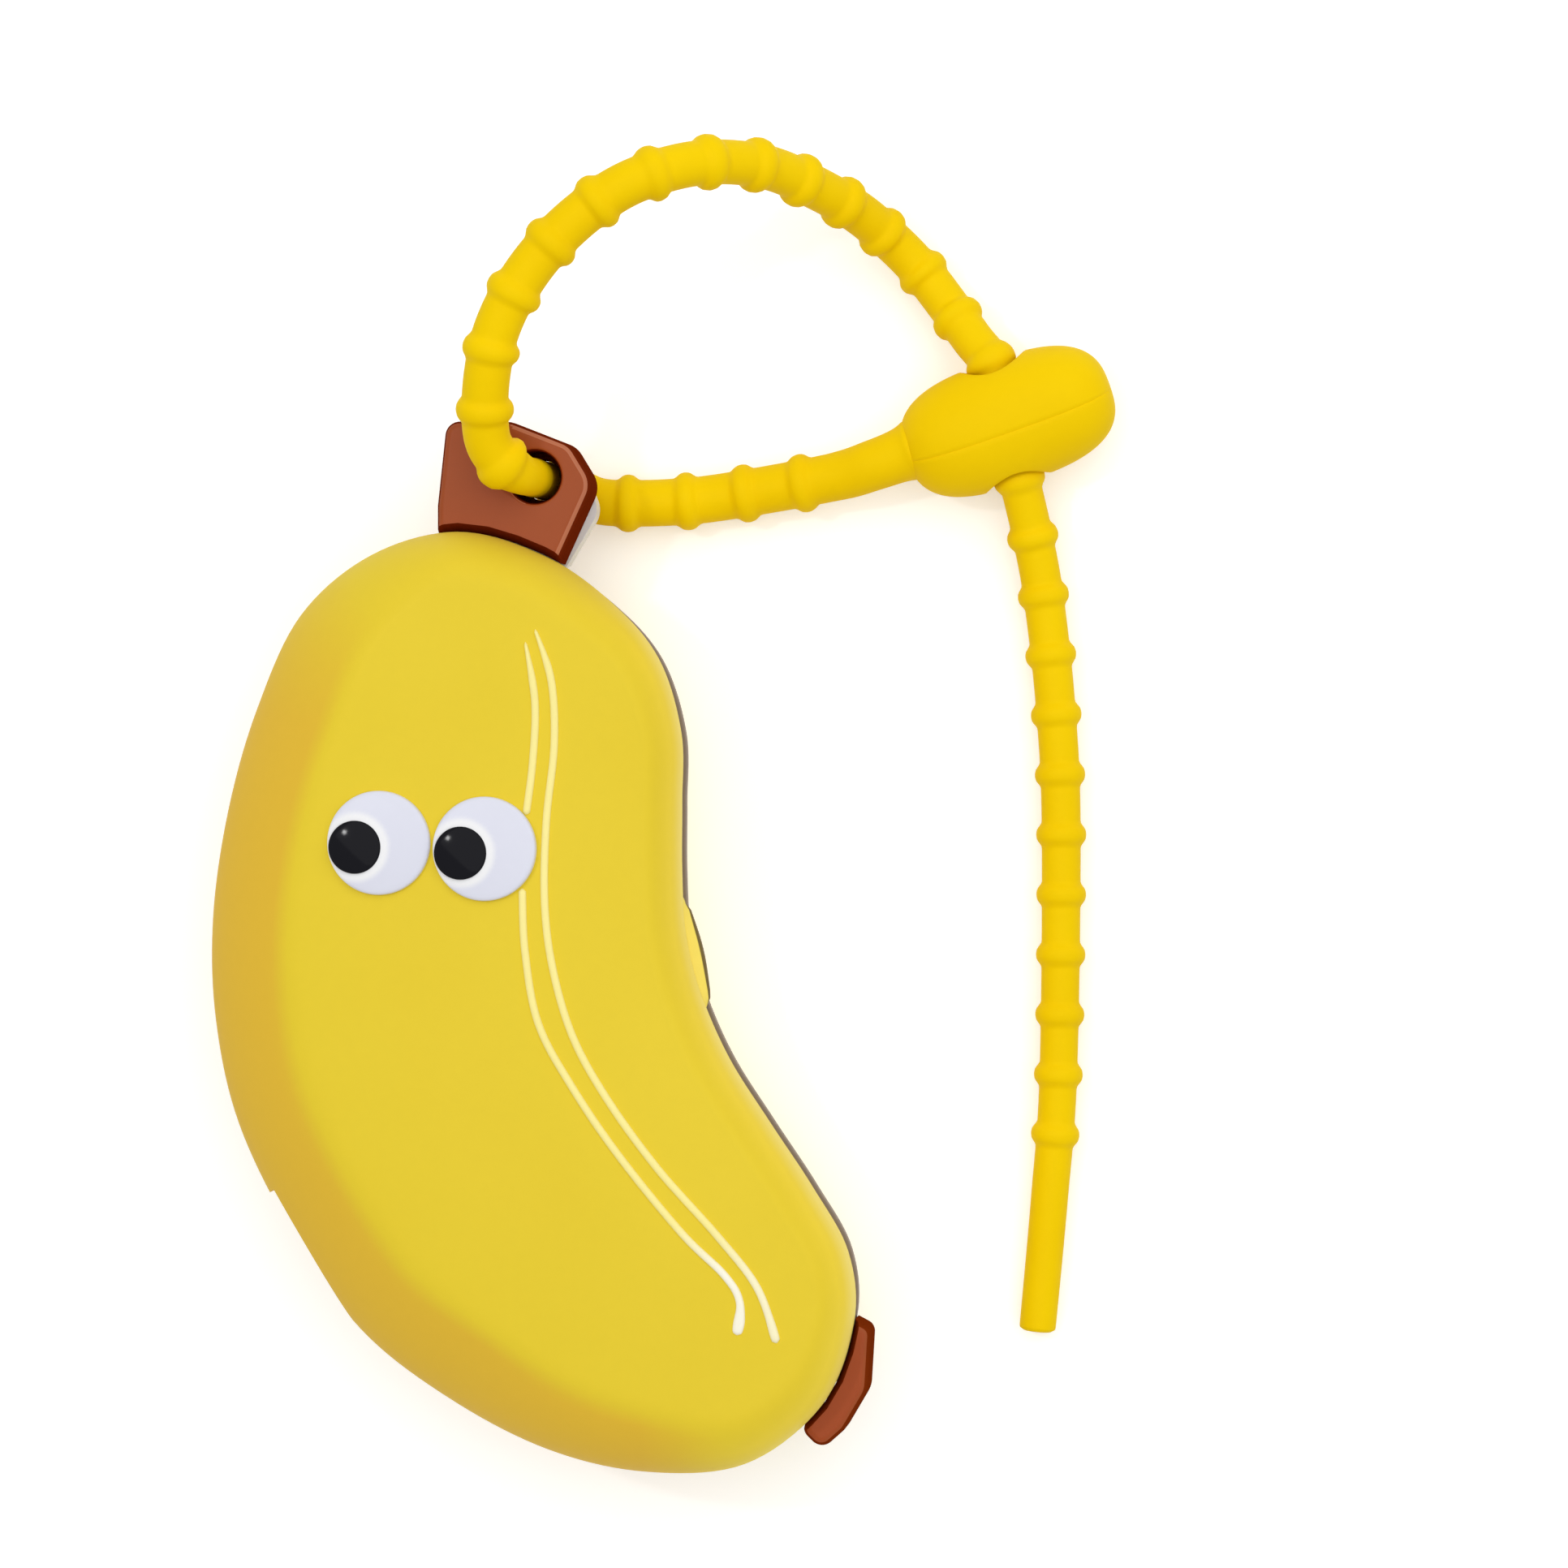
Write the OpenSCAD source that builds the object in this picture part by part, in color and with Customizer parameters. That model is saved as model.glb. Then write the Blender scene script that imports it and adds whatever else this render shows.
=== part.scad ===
// Banana-shaped travel case for a short toothbrush, lying on its back.
// The front half is a lid that swings on a pin at the convex side.
// Origin: middle of the case's footprint on the table. X right, Y towards the stem, Z up out of the face.

/* [Case] */
// Depth of the closed case at the middle of its face
case_depth = 27; // [25.5:0.5:29]
// Height of the plane where the two halves part
part_height = 13; // [12:0.5:13.5]
// Wall of the outer shells
wall = 1.6; // [1.3:0.1:1.8]
// Wall of the white linings
liner_wall = 1; // [0.8:0.1:1.1]
// Rise of the face from its edges to its middle
crown = 1.2; // [0.6:0.1:1.4]
// Height of the tray's lip above the parting plane
lip_height = 1; // [0.6:0.1:1.2]
// How far the thumb lip stands out of the lid's edge
thumb_out = 1.1; // [0.6:0.1:1.2]

/* [Hinge] */
// Radius of the hinge barrel
knuckle_r = 1.75; // [1.6:0.05:1.8]
// Radius of the steel pin
pin_r = 0.9; // [0.7:0.05:1]
// Length of the hinge barrel
hinge_length = 13.7; // [12:0.1:14]

/* [Stem and tip] */
// Thickness of the brown cap on the front of the stem
stem_cap_h = 5.4; // [4.6:0.1:6]
// Radius of the strap's hole through the stem
stem_hole_r = 2.8; // [2.75:0.05:3.2]
// Height of the brown block at the tip
tip_h = 8.8; // [8:0.2:10]

/* [Eyes and lines] */
// Radius of the white of an eye
eye_r = 5.4; // [5:0.1:5.4]
// Radius of a pupil
pupil_r = 2.75; // [2.5:0.05:2.8]
// Width of a raised line
line_w = 0.8; // [0.6:0.1:1]
// How far a line stands proud of the face
line_proud = 0.35; // [0.2:0.05:0.5]

/* [Strap] */
// Radius of the strap between its ribs, at the bead's neck
strap_r = 2.6; // [2.4:0.05:2.6]
// Radius of the strap's plain tail
tail_r = 1.95; // [1.8:0.05:1.95]
// How far a rib stands out of the strap
rib_rise = 0.6; // [0.4:0.05:0.6]
// Distance from rib to rib, before it is evened out
rib_pitch = 6.4; // [6:0.1:7.5]
// Length of the bead
bead_length = 23; // [22:0.1:24]
// Radius of the bead
bead_r = 6.7; // [6.3:0.1:6.7]

/* [Hidden] */

yellow = [0.91, 0.80, 0.22];
strap_yellow = [0.96, 0.80, 0.04];
brown = [0.60, 0.29, 0.16];
white = [0.93, 0.93, 0.94];
cream = [1.00, 0.96, 0.75];

// Outline of the case at its widest height, counter-clockwise from the stem: x, y, width of the
// rounded shoulder there. The first half runs down the convex side, the second up the concave side.
OUTLINE = [
    [-8.5, 43.6, 6], [-17.8, 41.2, 8], [-25.4, 34.9, 9.5], [-30.1, 25.1, 10], [-33.2, 14.5, 10],
    [-34.9, 3, 10], [-34.6, -8, 10], [-32.1, -19, 10], [-26.5, -30.2, 10], [-19, -40.6, 10],
    [-9.5, -47.8, 10], [1, -53, 9], [11.5, -55.2, 8], [22, -54.2, 6.5], [30, -48, 5],
    [33.3, -39.5, 4], [32.7, -32.1, 3.5], [29, -25.4, 3.5], [24.4, -18.5, 3.5], [20.1, -11.8, 3.5],
    [17.1, -5, 3.5], [15.5, 1.5, 3.5], [15.1, 8, 3.5], [15.1, 15, 3.5], [15, 22.5, 3.5],
    [12.6, 30.3, 4], [7.6, 36.2, 4.5], [0.5, 41.1, 5]
];
SPAN_STEPS = 3;
// Middle line of the face, from the stem to the tip
SPINE = [
    [-8.5, 42], [-8.5, 30], [-9.3, 18], [-9.8, 6], [-8.5, -6], [-4, -18], [4, -28.5], [13.5, -37.5],
    [23, -44.5], [29, -49]
];
// Steps across the face, and steps round a shoulder
ACROSS = 4;
SHOULDER_STEPS = 5;
BACK_STEPS = 4;

widest_z = part_height + 4.5;
gap = 0.3;
flange_h = 1.4;
flange_z = part_height - flange_h;
// How far the parting edge is drawn in from the widest outline, as a share of the shoulder
EDGE_SHARE = 0.16;
liner_out = wall + gap;
liner_in = liner_out + liner_wall;
lip_out = wall + 0.35;
// The face falls away a little towards both ends
FACE_MIDDLE = [-5, -2];
END_DROP = 1.5;
END_REACH = 55;
CROWN_REACH = 18;
// The front shoulder is between a quarter round, at 0, and a straight bevel, at 1: it is a quarter
// round up to the first width of the shoulder, and bevelled by BEVEL from the second one on
BEVEL = 0.55;
BEVEL_WIDTHS = [6, 10];

function spline(a, b, c, d, t) =
    0.5 * (2 * b + (c - a) * t + (2 * a - 5 * b + 4 * c - d) * t * t
        + (3 * b - a - 3 * c + d) * t * t * t);
function unit(v) = v / norm(v);
function lerp(a, b, t) = a + (b - a) * t;

spans = len(OUTLINE);
count = spans * SPAN_STEPS;
half = count / 2;
outline = [
    for (i = [0 : spans - 1], k = [0 : SPAN_STEPS - 1])
        spline(OUTLINE[(i + spans - 1) % spans], OUTLINE[i], OUTLINE[(i + 1) % spans],
            OUTLINE[(i + 2) % spans], k / SPAN_STEPS)
];
inward = [
    for (i = [0 : count - 1])
        let (a = outline[(i + count - 1) % count], b = outline[(i + 1) % count])
            unit([a.y - b.y, b.x - a.x])
];
soft = [for (p = outline) p.z];
back_soft = [for (s = soft) 0.9 * s + 2];
bevel = [
    for (s = soft)
        BEVEL * max(0, min(1, (s - BEVEL_WIDTHS[0]) / (BEVEL_WIDTHS[1] - BEVEL_WIDTHS[0])))
];
edge = [for (s = soft) EDGE_SHARE * s];
// The tray's flange stands a little proud where the shoulder is narrow
FLANGE_PROUD = 0.9;
flange_edge = [for (s = soft) EDGE_SHARE * s - FLANGE_PROUD * max(0, 1 - s / 8)];

function flat_distance(p, a, b) =
    let (along = (b - a) * (p - a) / ((b - a) * (b - a)))
        norm(p - lerp(a, b, max(0, min(1, along))));
function from_spine(p) = min([for (i = [0 : len(SPINE) - 2]) flat_distance(p, SPINE[i], SPINE[i + 1])]);
// Height of the face over a place in plan
function face(p) =
    case_depth - crown * pow(from_spine(p) / CROWN_REACH, 3)
        - END_DROP * pow(norm(p - FACE_MIDDLE) / END_REACH, 4);

function place(i, inset) = [outline[i].x, outline[i].y] + inward[i] * inset;
function ring(insets, heights) = [
    for (i = [0 : count - 1])
        let (p = place(i, insets[i])) [p.x, p.y, heights[i]]
];
function level(z) = [for (i = [0 : count - 1]) z];
face_edge = [for (i = [0 : count - 1]) face(place(i, soft[i]))];

// Crescent that a thumb pushes up: how far it stands out along the concave edge of the lid
THUMB_FROM = 59;
THUMB_TO = 65;
THUMB_H = 2.4;
thumb = [
    for (i = [0 : count - 1])
        i > THUMB_FROM && i < THUMB_TO
            ? thumb_out * sqrt(sin(180 * (i - THUMB_FROM) / (THUMB_TO - THUMB_FROM))) : 0
];

// Ring of the front half's wall below the widest height, a depth in from the outer surface.
// At share 1 it takes in the thumb lip.
function front_wall(depth, z, share = 0) =
    ring([for (i = [0 : count - 1])
        depth + edge[i] * pow((widest_z - z) / (widest_z - part_height), 2) - share * thumb[i]],
        level(z));
// Ring of the front half's shoulder at an angle from 0 at the wall to 90 at the face
function front_shoulder(depth, angle) =
    ring([for (s = soft) depth + (s - depth) * (1 - cos(angle))],
        [for (i = [0 : count - 1])
            widest_z + (face_edge[i] - depth - widest_z) * lerp(sin(angle), 1 - cos(angle), bevel[i])]);
// Ring of the back half at an angle from 0 at the rim to 90 at the floor
function back_curve(depth, angle) =
    ring([for (i = [0 : count - 1]) edge[i] + depth + (back_soft[i] - depth) * (1 - cos(angle))],
        level(depth + (flange_z - depth) * (1 - sin(angle))));

// Angles of a run of rings, both ends included
function angles(steps) = [for (k = [0 : steps]) 90 * k / steps];
function reversed(list) = [for (i = [len(list) - 1 : -1 : 0]) list[i]];
function flat(lists) = [for (list = lists) each list];

// Point of the ladder of rungs that closes the inside of a ring: rung j, step k across
function ladder_at(first, extra, j, k) =
    k == 0 ? first + j
    : k == ACROSS ? first + (count - j) % count
    : extra + (j - 1) * (ACROSS - 1) + k - 1;
function ladder_points(loop, height) = [
    for (j = [1 : half - 1], k = [1 : ACROSS - 1])
        let (a = loop[j], b = loop[count - j], p = lerp([a.x, a.y], [b.x, b.y], k / ACROSS))
            [p.x, p.y, height(p)]
];
function ladder_faces(first, extra) = concat(
    [for (k = [0 : ACROSS - 1])
        [first, ladder_at(first, extra, 1, k + 1), ladder_at(first, extra, 1, k)]],
    [for (j = [1 : half - 2], k = [0 : ACROSS - 1], side = [0, 1])
        side == 0
            ? [ladder_at(first, extra, j, k), ladder_at(first, extra, j, k + 1),
                ladder_at(first, extra, j + 1, k + 1)]
            : [ladder_at(first, extra, j, k), ladder_at(first, extra, j + 1, k + 1),
                ladder_at(first, extra, j + 1, k)]],
    [for (k = [0 : ACROSS - 1])
        [ladder_at(first, extra, half - 1, k), ladder_at(first, extra, half - 1, k + 1), first + half]]
);
function band_faces(rings) = [
    for (r = [0 : rings - 2], i = [0 : count - 1], side = [0, 1])
        let (a = r * count + i, b = r * count + (i + 1) % count)
            side == 0 ? [a, b, b + count] : [a, b + count, a + count]
];
function turned(faces) = [for (f = faces) [f[2], f[1], f[0]]];

// Closed shell through a list of rings. Its first and last rings are filled by ladders, whose
// heights over a place in plan the two functions give.
module ring_shell(rings, first_height, last_height, upside_down = false) {
    extra_first = len(rings) * count;
    extra_last = extra_first + (half - 1) * (ACROSS - 1);
    faces = concat(
        ladder_faces(0, extra_first),
        band_faces(len(rings)),
        turned(ladder_faces((len(rings) - 1) * count, extra_last))
    );
    polyhedron(
        points = concat(
            flat(rings),
            ladder_points(rings[0], first_height),
            ladder_points(rings[len(rings) - 1], last_height)
        ),
        faces = upside_down ? turned(faces) : faces
    );
}

// Plan of the case grown by an amount
module case_plan(grow) {
    polygon([for (i = [0 : count - 1]) place(i, -grow)]);
}

// Hinge: the axis runs along the flat chord on the convex side, at the parting plane
HINGE_MIDDLE = [-24.85, -32.05];
HINGE_ANGLE = -59.5;
RELIEF_R = 2.4;
// The relief reaches further towards the stem, where the case bulges past the axis
RELIEF_LENGTH = 24.6;
RELIEF_SHIFT = -3.2;
KNUCKLE_GAP = 0.25;
PIN_PLAY = 0.05;
hinge_inset = knuckle_r;
axis_z = part_height + gap / 2;
knuckle_length = (hinge_length - 2 * KNUCKLE_GAP) / 3;

// Local X along the hinge axis, Y into the case, Z up
module at_hinge() {
    translate([HINGE_MIDDLE.x, HINGE_MIDDLE.y, axis_z])
        rotate(HINGE_ANGLE)
            translate([0, hinge_inset, 0])
                children();
}
module hinge_rod(r, length) {
    rotate([0, 90, 0])
        cylinder(r = r, h = length, center = true, $fn = 48);
}
module hinge_relief() {
    at_hinge()
        translate([RELIEF_SHIFT, 0, 0])
            hinge_rod(RELIEF_R, RELIEF_LENGTH);
}
// Barrel piece with a web that goes up (side 1) or down (side -1) into its shell
module knuckle(x, side, bore_r) {
    WEB_H = 3.4;
    web_from = side > 0 ? -0.9 : -0.5;
    web_to = side > 0 ? 0.1 : 1.2;
    translate([x, 0, 0])
        difference() {
            union() {
                hinge_rod(knuckle_r, knuckle_length);
                translate([-knuckle_length / 2, web_from, side > 0 ? 0 : -WEB_H])
                    cube([knuckle_length, web_to - web_from, WEB_H]);
            }
            hinge_rod(bore_r, knuckle_length + 2);
        }
}

// Vents in the back, under where the bristles lie
VENTS = [[-14, 8], [-9, 8], [-4, 8]];
VENT_R = 1.5;
module vents() {
    for (v = VENTS)
        translate([v.x, v.y, -1])
            cylinder(r = VENT_R, h = 6, $fn = 24);
}

module back_shell() {
    rings = concat(
        [for (a = reversed(angles(BACK_STEPS))) back_curve(0, a)],
        [for (a = angles(BACK_STEPS)) back_curve(wall, a)]
    );
    color(yellow) {
        difference() {
            ring_shell(rings, function(p) 0, function(p) wall, upside_down = true);
            hinge_relief();
            vents();
        }
        at_hinge()
            for (side = [-1, 1])
                knuckle(side * (knuckle_length + KNUCKLE_GAP), -1, pin_r);
    }
}

// Stem: circles whose hull is the outline of its caps, as x, y, radius. The tray's core between the
// caps has its own, and stands out from under the front cap only at the foot of the right side.
STEM = [
    [-9.6, 43, 1.2], [-9.6, 46.3, 1.2], [-8.4, 53.7, 1.6], [-3.2, 53.5, 1.7], [1.7, 50.6, 2.6],
    [2.8, 48.4, 2.8], [1, 40.6, 1.2]
];
STEM_CORE = [
    [-9.4, 43, 1.2], [-9.4, 46.3, 1.2], [-8.2, 53.5, 1.6], [-3.3, 53.2, 1.6], [1.5, 50.3, 2.5],
    [2.7, 46.6, 2.7], [1.4, 40.6, 1.2]
];
STEM_HOLE = [-0.3, 49.3];
STEM_ROUND = 0.9;
STEM_CORE_H = 2.4;
STEM_BACK_H = 1.6;
STEM_GAP = 0.35;
core_z = part_height - STEM_CORE_H;

module circles_plan(circles, inset) {
    hull()
        for (c = circles)
            translate([c.x, c.y])
                circle(r = c.z - inset, $fn = 32);
}
module stem_hole(z, h) {
    translate([STEM_HOLE.x, STEM_HOLE.y, z])
        cylinder(r = stem_hole_r, h = h, $fn = 48);
}

// Tab of the tray that carries the tip block
TIP_TAB = [32.3, -44.2];
TIP_TAB_ANGLE = -25;
module tip_tab(side_play) {
    translate([TIP_TAB.x, TIP_TAB.y, flange_z])
        rotate(TIP_TAB_ANGLE)
            translate([-1.6, -2.2 - side_play, 0])
                cube([2.6 + side_play, 4.4 + 2 * side_play, flange_h]);
}

// Catch for the lid's latch, at the thumb lip
LATCH_AT = 62;
LATCH_W = 8;
module at_latch() {
    translate([outline[LATCH_AT].x, outline[LATCH_AT].y, 0])
        rotate(atan2(-inward[LATCH_AT].x, inward[LATCH_AT].y))
            children();
}

// Rest for the brush's handle: a block with a round notch
BRUSH_LINE_ANGLE = 16;
RESTS = [[-9.6, 22], [2.2, -19]];
NOTCH_R = 4.5;
module brush_rest(at) {
    translate([at.x, at.y, liner_out + 0.2])
        rotate(BRUSH_LINE_ANGLE)
            difference() {
                translate([-7, -1.25, 0])
                    cube([14, 2.5, 6.6]);
                translate([0, 3, 8.4])
                    rotate([90, 0, 0])
                        cylinder(r = NOTCH_R, h = 6, $fn = 48);
            }
}

module back_tray() {
    rings = concat(
        [for (a = reversed(angles(BACK_STEPS))) back_curve(liner_out, a)],
        [
            ring(flange_edge, level(flange_z)),
            ring(flange_edge, level(part_height)),
            ring([for (e = edge) e + lip_out], level(part_height)),
            ring([for (e = edge) e + lip_out], level(part_height + lip_height)),
            ring([for (e = edge) e + liner_in], level(part_height + lip_height))
        ],
        [for (a = angles(BACK_STEPS)) back_curve(liner_in, a)]
    );
    color(white) {
        difference() {
            ring_shell(rings, function(p) liner_out, function(p) liner_in, upside_down = true);
            hinge_relief();
            vents();
        }
        for (at = RESTS)
            brush_rest(at);
        difference() {
            translate([0, 0, core_z])
                linear_extrude(STEM_CORE_H)
                    circles_plan(STEM_CORE, 0);
            translate([0, 0, core_z - 1])
                linear_extrude(flange_z - core_z + 1)
                    case_plan(0.1);
            translate([0, 0, flange_z - 1])
                linear_extrude(4)
                    case_plan(-1.2);
            stem_hole(core_z - 1, 6);
        }
        tip_tab(0);
        at_latch()
            translate([-3.5, 3.1, 10.8])
                cube([7, 0.6, 0.8]);
    }
}

module stem_front_cap() {
    color(brown)
        difference() {
            hull() {
                translate([0, 0, part_height])
                    linear_extrude(stem_cap_h - STEM_ROUND)
                        circles_plan(STEM, 0);
                translate([0, 0, part_height])
                    linear_extrude(stem_cap_h)
                        circles_plan(STEM, STEM_ROUND);
            }
            translate([0, 0, part_height - 1])
                linear_extrude(stem_cap_h + 2)
                    case_plan(STEM_GAP);
            stem_hole(part_height - 1, stem_cap_h + 2);
        }
}

module stem_back_cap() {
    BACK_INSET = 0.6;
    color(brown)
        difference() {
            hull() {
                translate([0, 0, core_z - STEM_BACK_H + 0.5])
                    linear_extrude(STEM_BACK_H - 0.5)
                        circles_plan(STEM, BACK_INSET);
                translate([0, 0, core_z - STEM_BACK_H])
                    linear_extrude(STEM_BACK_H)
                        circles_plan(STEM, BACK_INSET + 0.3);
            }
            translate([0, 0, core_z - STEM_BACK_H - 1])
                linear_extrude(STEM_BACK_H + 2)
                    case_plan(STEM_GAP);
            stem_hole(core_z - STEM_BACK_H - 1, STEM_BACK_H + 2);
        }
}

// Tip: circles whose hull is its outline, drawn in towards its bottom
TIP = [
    [33, -40, 1], [33.9, -40.7, 1.2], [31.9, -45.6, 2.9], [30.6, -49.2, 2.2], [29.9, -50.9, 1.4],
    [29.2, -50.5, 1.2]
];
TIP_TOP = 17.4;
TIP_ROUND = 0.9;
TIP_WIDEST = 12;
module tip_cap() {
    bottom = TIP_TOP - tip_h;
    color(brown)
        difference() {
            hull() {
                translate([0, 0, TIP_WIDEST])
                    linear_extrude(TIP_TOP - TIP_ROUND - TIP_WIDEST)
                        circles_plan(TIP, 0);
                translate([0, 0, bottom])
                    linear_extrude(tip_h)
                        circles_plan(TIP, TIP_ROUND);
            }
            translate([0, 0, bottom - 1])
                linear_extrude(tip_h + 2)
                    case_plan(STEM_GAP);
            tip_tab(0.1);
        }
}

module hinge_pin() {
    color("silver")
        at_hinge() hinge_rod(pin_r, hinge_length);
}

EYE_LEFT = [-15.2, 10.9];
EYE_RIGHT = [-4.1, 10.3];
PUPIL_SHIFT = [-2.4, -0.45];
EYE_SINK = 0.35;
EYE_RIM_H = 0.8;
EYE_H = 1.5;
PUPIL_FLOOR = 0.6;
PUPIL_H = 1;

// Posts of the lid's shell that hold its lining, meeting pads on the lining
POSTS = [[-14, 28], [-12, -16], [15, -40]];
POST_R = 2.5;
POST_REACH = 0.2;

module front_shell() {
    rings = concat(
        [for (a = reversed(angles(SHOULDER_STEPS))) front_shoulder(0, a)],
        [
            front_wall(0, part_height + gap + THUMB_H),
            front_wall(0, part_height + gap + THUMB_H - 0.6, 1),
            front_wall(0, part_height + gap, 1),
            front_wall(wall, part_height + gap)
        ],
        [for (a = angles(SHOULDER_STEPS)) front_shoulder(wall, a)]
    );
    color(yellow) {
        difference() {
            ring_shell(rings, function(p) face(p), function(p) face(p) - wall);
            hinge_relief();
            hinge_flat();
            for (eye = [EYE_LEFT, EYE_RIGHT])
                translate([eye.x, eye.y, face(eye) - EYE_SINK])
                    cylinder(r = eye_r + 0.05, h = 3, $fn = 64);
        }
        at_hinge() knuckle(0, 1, pin_r + PIN_PLAY);
        for (at = POSTS)
            translate([at.x, at.y, face(at) - wall - POST_REACH])
                cylinder(r = POST_R, h = POST_REACH + 0.5, $fn = 32);
    }
}

// Flat cut off the lid's bulge over the hinge
module hinge_flat() {
    FLAT_IN = 0.5;
    translate([HINGE_MIDDLE.x, HINGE_MIDDLE.y, part_height - 2])
        rotate(HINGE_ANGLE)
            translate([-7, FLAT_IN - 4, 0])
                cube([16, 4, 16]);
}

module front_liner() {
    low_z = part_height + lip_height + gap;
    rings = concat(
        [for (a = reversed(angles(SHOULDER_STEPS))) front_shoulder(liner_out, a)],
        [front_wall(liner_out, low_z), front_wall(liner_in, low_z)],
        [for (a = angles(SHOULDER_STEPS)) front_shoulder(liner_in, a)]
    );
    color(white) {
        difference() {
            ring_shell(rings, function(p) face(p) - liner_out, function(p) face(p) - liner_in);
            hinge_relief();
        }
        for (at = POSTS)
            translate([at.x, at.y, face(at) - wall - 0.6])
                cylinder(r = POST_R, h = 0.6 - POST_REACH, $fn = 32);
        at_latch() {
            translate([-LATCH_W / 2, 2.4, low_z + 0.4])
                cube([LATCH_W, 2.8, 2]);
            translate([-LATCH_W / 2, 4.2, 8.6])
                cube([LATCH_W, 1, low_z - 7]);
            translate([-LATCH_W / 2, 3.95, 9.2])
                cube([LATCH_W, 0.6, 0.9]);
        }
    }
}

module eye_white(at) {
    color(white)
        translate([at.x, at.y, face(at) - EYE_SINK])
            difference() {
                rotate_extrude($fn = 64)
                    polygon(concat(
                        [[0, 0], [eye_r - 0.1, 0], [eye_r, 0.1]],
                        [for (a = [0 : 15 : 90])
                            [eye_r * (0.86 + 0.14 * cos(a)) * (a == 90 ? 0 : 1)
                                , EYE_RIM_H + (EYE_H - EYE_RIM_H) * sin(a)]]
                    ));
                translate([PUPIL_SHIFT.x, PUPIL_SHIFT.y, PUPIL_FLOOR])
                    cylinder(r = pupil_r + 0.02, h = 3, $fn = 48);
            }
}
module pupil(at) {
    color([0.1, 0.1, 0.12])
        translate([at.x + PUPIL_SHIFT.x, at.y + PUPIL_SHIFT.y, face(at) - EYE_SINK + PUPIL_FLOOR])
            rotate_extrude($fn = 48)
                polygon([[0, 0], [pupil_r, 0], [pupil_r, PUPIL_H - 0.15], [pupil_r - 0.3, PUPIL_H],
                    [pupil_r - 1, PUPIL_H + 0.1], [0, PUPIL_H + 0.1]]);
}

// Raised lines down the face. The left one stops on both sides of the right eye.
LINE_LEFT_UPPER = [[0.1, 31.7], [1.1, 25.6], [0.9, 19.5], [0.3, 14.3]];
LINE_LEFT_LOWER = [
    [-0.2, 6], [0.1, -0.4], [1.5, -7.8], [5, -14.3], [9.9, -21.4], [16.4, -29.3], [20.8, -33.6],
    [22.4, -36.4], [22.1, -39.8]
];
LINE_RIGHT = [
    [1.1, 33], [2.8, 27.6], [3.1, 21], [2.3, 13.3], [2.1, 5.1], [2.9, -1.8], [5, -9], [8.6, -15.5],
    [13.9, -22.7], [20.1, -29.6], [24.2, -34.9], [26.2, -40.6]
];
LINE_STEPS = 3;
LINE_SUNK = 0.3;

function smooth_path(p, steps) = concat(
    [for (i = [0 : len(p) - 2], k = [0 : steps - 1])
        spline(p[max(i - 1, 0)], p[i], p[i + 1], p[min(i + 2, len(p) - 1)], k / steps)],
    [p[len(p) - 1]]
);
function heading(p, i) = unit(p[min(i + 1, len(p) - 1)] - p[max(i - 1, 0)]);

// Closed tube through rings of equal size, with its ends filled
module tube(rings) {
    sides = len(rings[0]);
    last = (len(rings) - 1) * sides;
    polyhedron(
        points = flat(rings),
        faces = concat(
            [for (k = [1 : sides - 2]) [0, k, k + 1]],
            [for (r = [0 : len(rings) - 2], k = [0 : sides - 1], side = [0, 1])
                let (a = r * sides + k, b = r * sides + (k + 1) % sides)
                    side == 0 ? [a, a + sides, b + sides] : [a, b + sides, b]],
            [for (k = [1 : sides - 2]) [last, last + k + 1, last + k]]
        )
    );
}

module ridge_line(route) {
    path = smooth_path(route, LINE_STEPS);
    w = line_w / 2;
    profile = [[-w, -LINE_SUNK], [w, -LINE_SUNK], [w, line_proud * 0.4], [w * 0.45, line_proud],
        [-w * 0.45, line_proud], [-w, line_proud * 0.4]];
    tube([
        for (i = [0 : len(path) - 1])
            let (h = heading(path, i), across = [h.y, -h.x])
                [for (q = profile) let (p = path[i] + across * q.x) [p.x, p.y, face(path[i]) + q.y]]
    ]);
}
module ridge_line_left() {
    color(cream) {
        ridge_line(LINE_LEFT_UPPER);
        ridge_line(LINE_LEFT_LOWER);
    }
}
module ridge_line_right() {
    color(cream) ridge_line(LINE_RIGHT);
}

// Bead: two balls and what lies between them, with a sloping hole for the strap
BEAD_MIDDLE = [48.7, 55.6, 6.15];
BEAD_ANGLE = 19;
BEAD_FLAT = 0.91;
BEAD_HOLE_MIDDLE = [48.5, 55.2, 6.1];
BEAD_HOLE_R = 3.05;
BEAD_HOLE_ANGLE = 12;
BEAD_HOLE_SLOPE = 5;

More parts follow.
